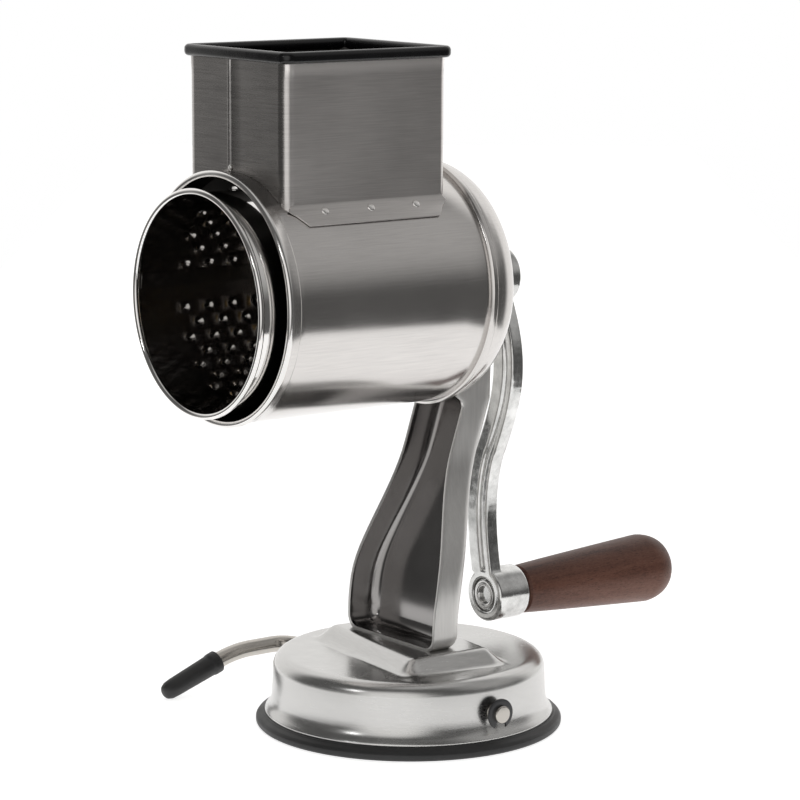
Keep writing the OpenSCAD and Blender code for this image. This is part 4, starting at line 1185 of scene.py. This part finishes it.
washer_low, washer_high = low_high("grip_washer")
bm = bmesh.new()
lathe(bm, [(4.5, washer_low.y), (washer_high.x, washer_low.y),
           (washer_high.x, washer_high.y), (4.5, washer_high.y)],
      centre=(0, 0, GRIP_Z), steps=64, closed=True)
round_edges(bm, 0.2, segments=2)
finish_piece("spring_washer", bm, "crank", TURNED_STEEL, ["grip_washer"])

screw_low, screw_high = low_high("crank_screw")
SCREW_HEAD_R = 4.4
HEX_HALF = 2.0
bm = bmesh.new()
lathe(bm, [(0, screw_low.y), (2.5, screw_low.y), (2.5, screw_high.y - 1.9),
           (SCREW_HEAD_R, screw_high.y - 1.2), (SCREW_HEAD_R, screw_high.y - 0.4),
           (SCREW_HEAD_R - 0.5, screw_high.y), (HEX_HALF + 0.5, screw_high.y)],
      centre=(0, 0, AXIS_Z), steps=48)
edge = [e for e in bm.edges if e.is_boundary]
made = bmesh.ops.extrude_edge_only(bm, edges=edge)["geom"]
for v in [g for g in made if isinstance(g, bmesh.types.BMVert)]:
    angle = math.atan2(v.co.z / MM - AXIS_Z, v.co.x / MM)
    reach = HEX_HALF / math.cos((angle % (math.pi / 3)) - math.pi / 6)
    v.co = Vector((reach * math.cos(angle), screw_high.y - 0.1, AXIS_Z + reach * math.sin(angle))) * MM
edge = [g for g in made if isinstance(g, bmesh.types.BMEdge) and g.is_boundary]
edge = push(bm, edge, (0, -1, 0), 2.0)
bmesh.ops.contextual_create(bm, geom=edge)
bmesh.ops.recalc_face_normals(bm, faces=bm.faces)
finish_piece("hub_socket_screw", bm, "crank", TURNED_STEEL, ["crank_screw"])

nut_low, nut_high = low_high("bearing_nut")
NUT_R = nut_high.x
bm = bmesh.new()
bmesh.ops.create_cone(bm, cap_ends=True, segments=6, radius1=NUT_R * MM, radius2=NUT_R * MM,
                      depth=(nut_high.y - nut_low.y) * MM,
                      matrix=Matrix.Translation(Vector((0, (nut_low.y + nut_high.y) / 2, AXIS_Z)) * MM)
                      @ Matrix.Rotation(math.pi / 2, 4, "X"))
round_edges(bm, 0.6, segments=3, sharpest=50)
finish_piece("lock_nut", bm, "root", TURNED_STEEL, ["bearing_nut"])

# %% [markdown]
# ## The wooden grip
# The grip swells from the boss to a rounded butt, as it came off the lathe. Its outline is a long
# straight taper and a quarter of an oval, and fine steps in the oval keep the highlight clean.

# %% Turned grip
grip_low, grip_high = low_high("wood_grip")
GRIP_SMALL = 10.0
GRIP_BIG = grip_high.x
BUTT = 12.5
grip_start = grip_low.y
grip_end = grip_high.y
taper_end = grip_end - BUTT
flat_share = 0.50
taper = [(GRIP_SMALL + (GRIP_BIG - 0.15 - GRIP_SMALL) * (k / 10) ** 0.93,
          grip_start + 0.8 + (taper_end - grip_start - 0.8) * k / 10) for k in range(11)]
butt = arc(GRIP_BIG * flat_share, taper_end, GRIP_BIG * (1 - flat_share), BUTT, range(8, 91, 8))
bm = bmesh.new()
lathe(bm, [(4.6, grip_start), (GRIP_SMALL - 0.8, grip_start)] + taper + butt
      + [(GRIP_BIG * flat_share, grip_end), (0, grip_end)], centre=(0, 0, GRIP_Z), steps=96)
finish_piece("turned_wood_grip", bm, "grip", DARK_WOOD, ["wood_grip"], flat_above=35)

# %% [markdown]
# ## Parts that keep their CAD shape
# Shafts, bushes and the works inside the base are simple machined shapes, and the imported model
# already has them exactly. They keep their mesh and only take a finish.

# %% Finish the remaining parts
kept = {"pad_membrane": PAD_RUBBER, "pad_core": PAD_RUBBER, "lift_plate": TURNED_STEEL,
        "lift_yoke": TURNED_STEEL, "lever_cam": TURNED_STEEL, "bearing_bush": BRASS,
        "lock_washer": TURNED_STEEL, "drive_shaft": TURNED_STEEL,
        "thrust_washer": WHITE_PLASTIC, "grip_spindle": TURNED_STEEL, "grip_collar": TURNED_STEEL,
        "drum_socket": BRASS, "socket_rivets": TURNED_STEEL}
for name, paint in kept.items():
    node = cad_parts[name]
    for slot in node.material_slots:
        slot.material = paint
print("kept from CAD:", ", ".join(sorted(kept)))
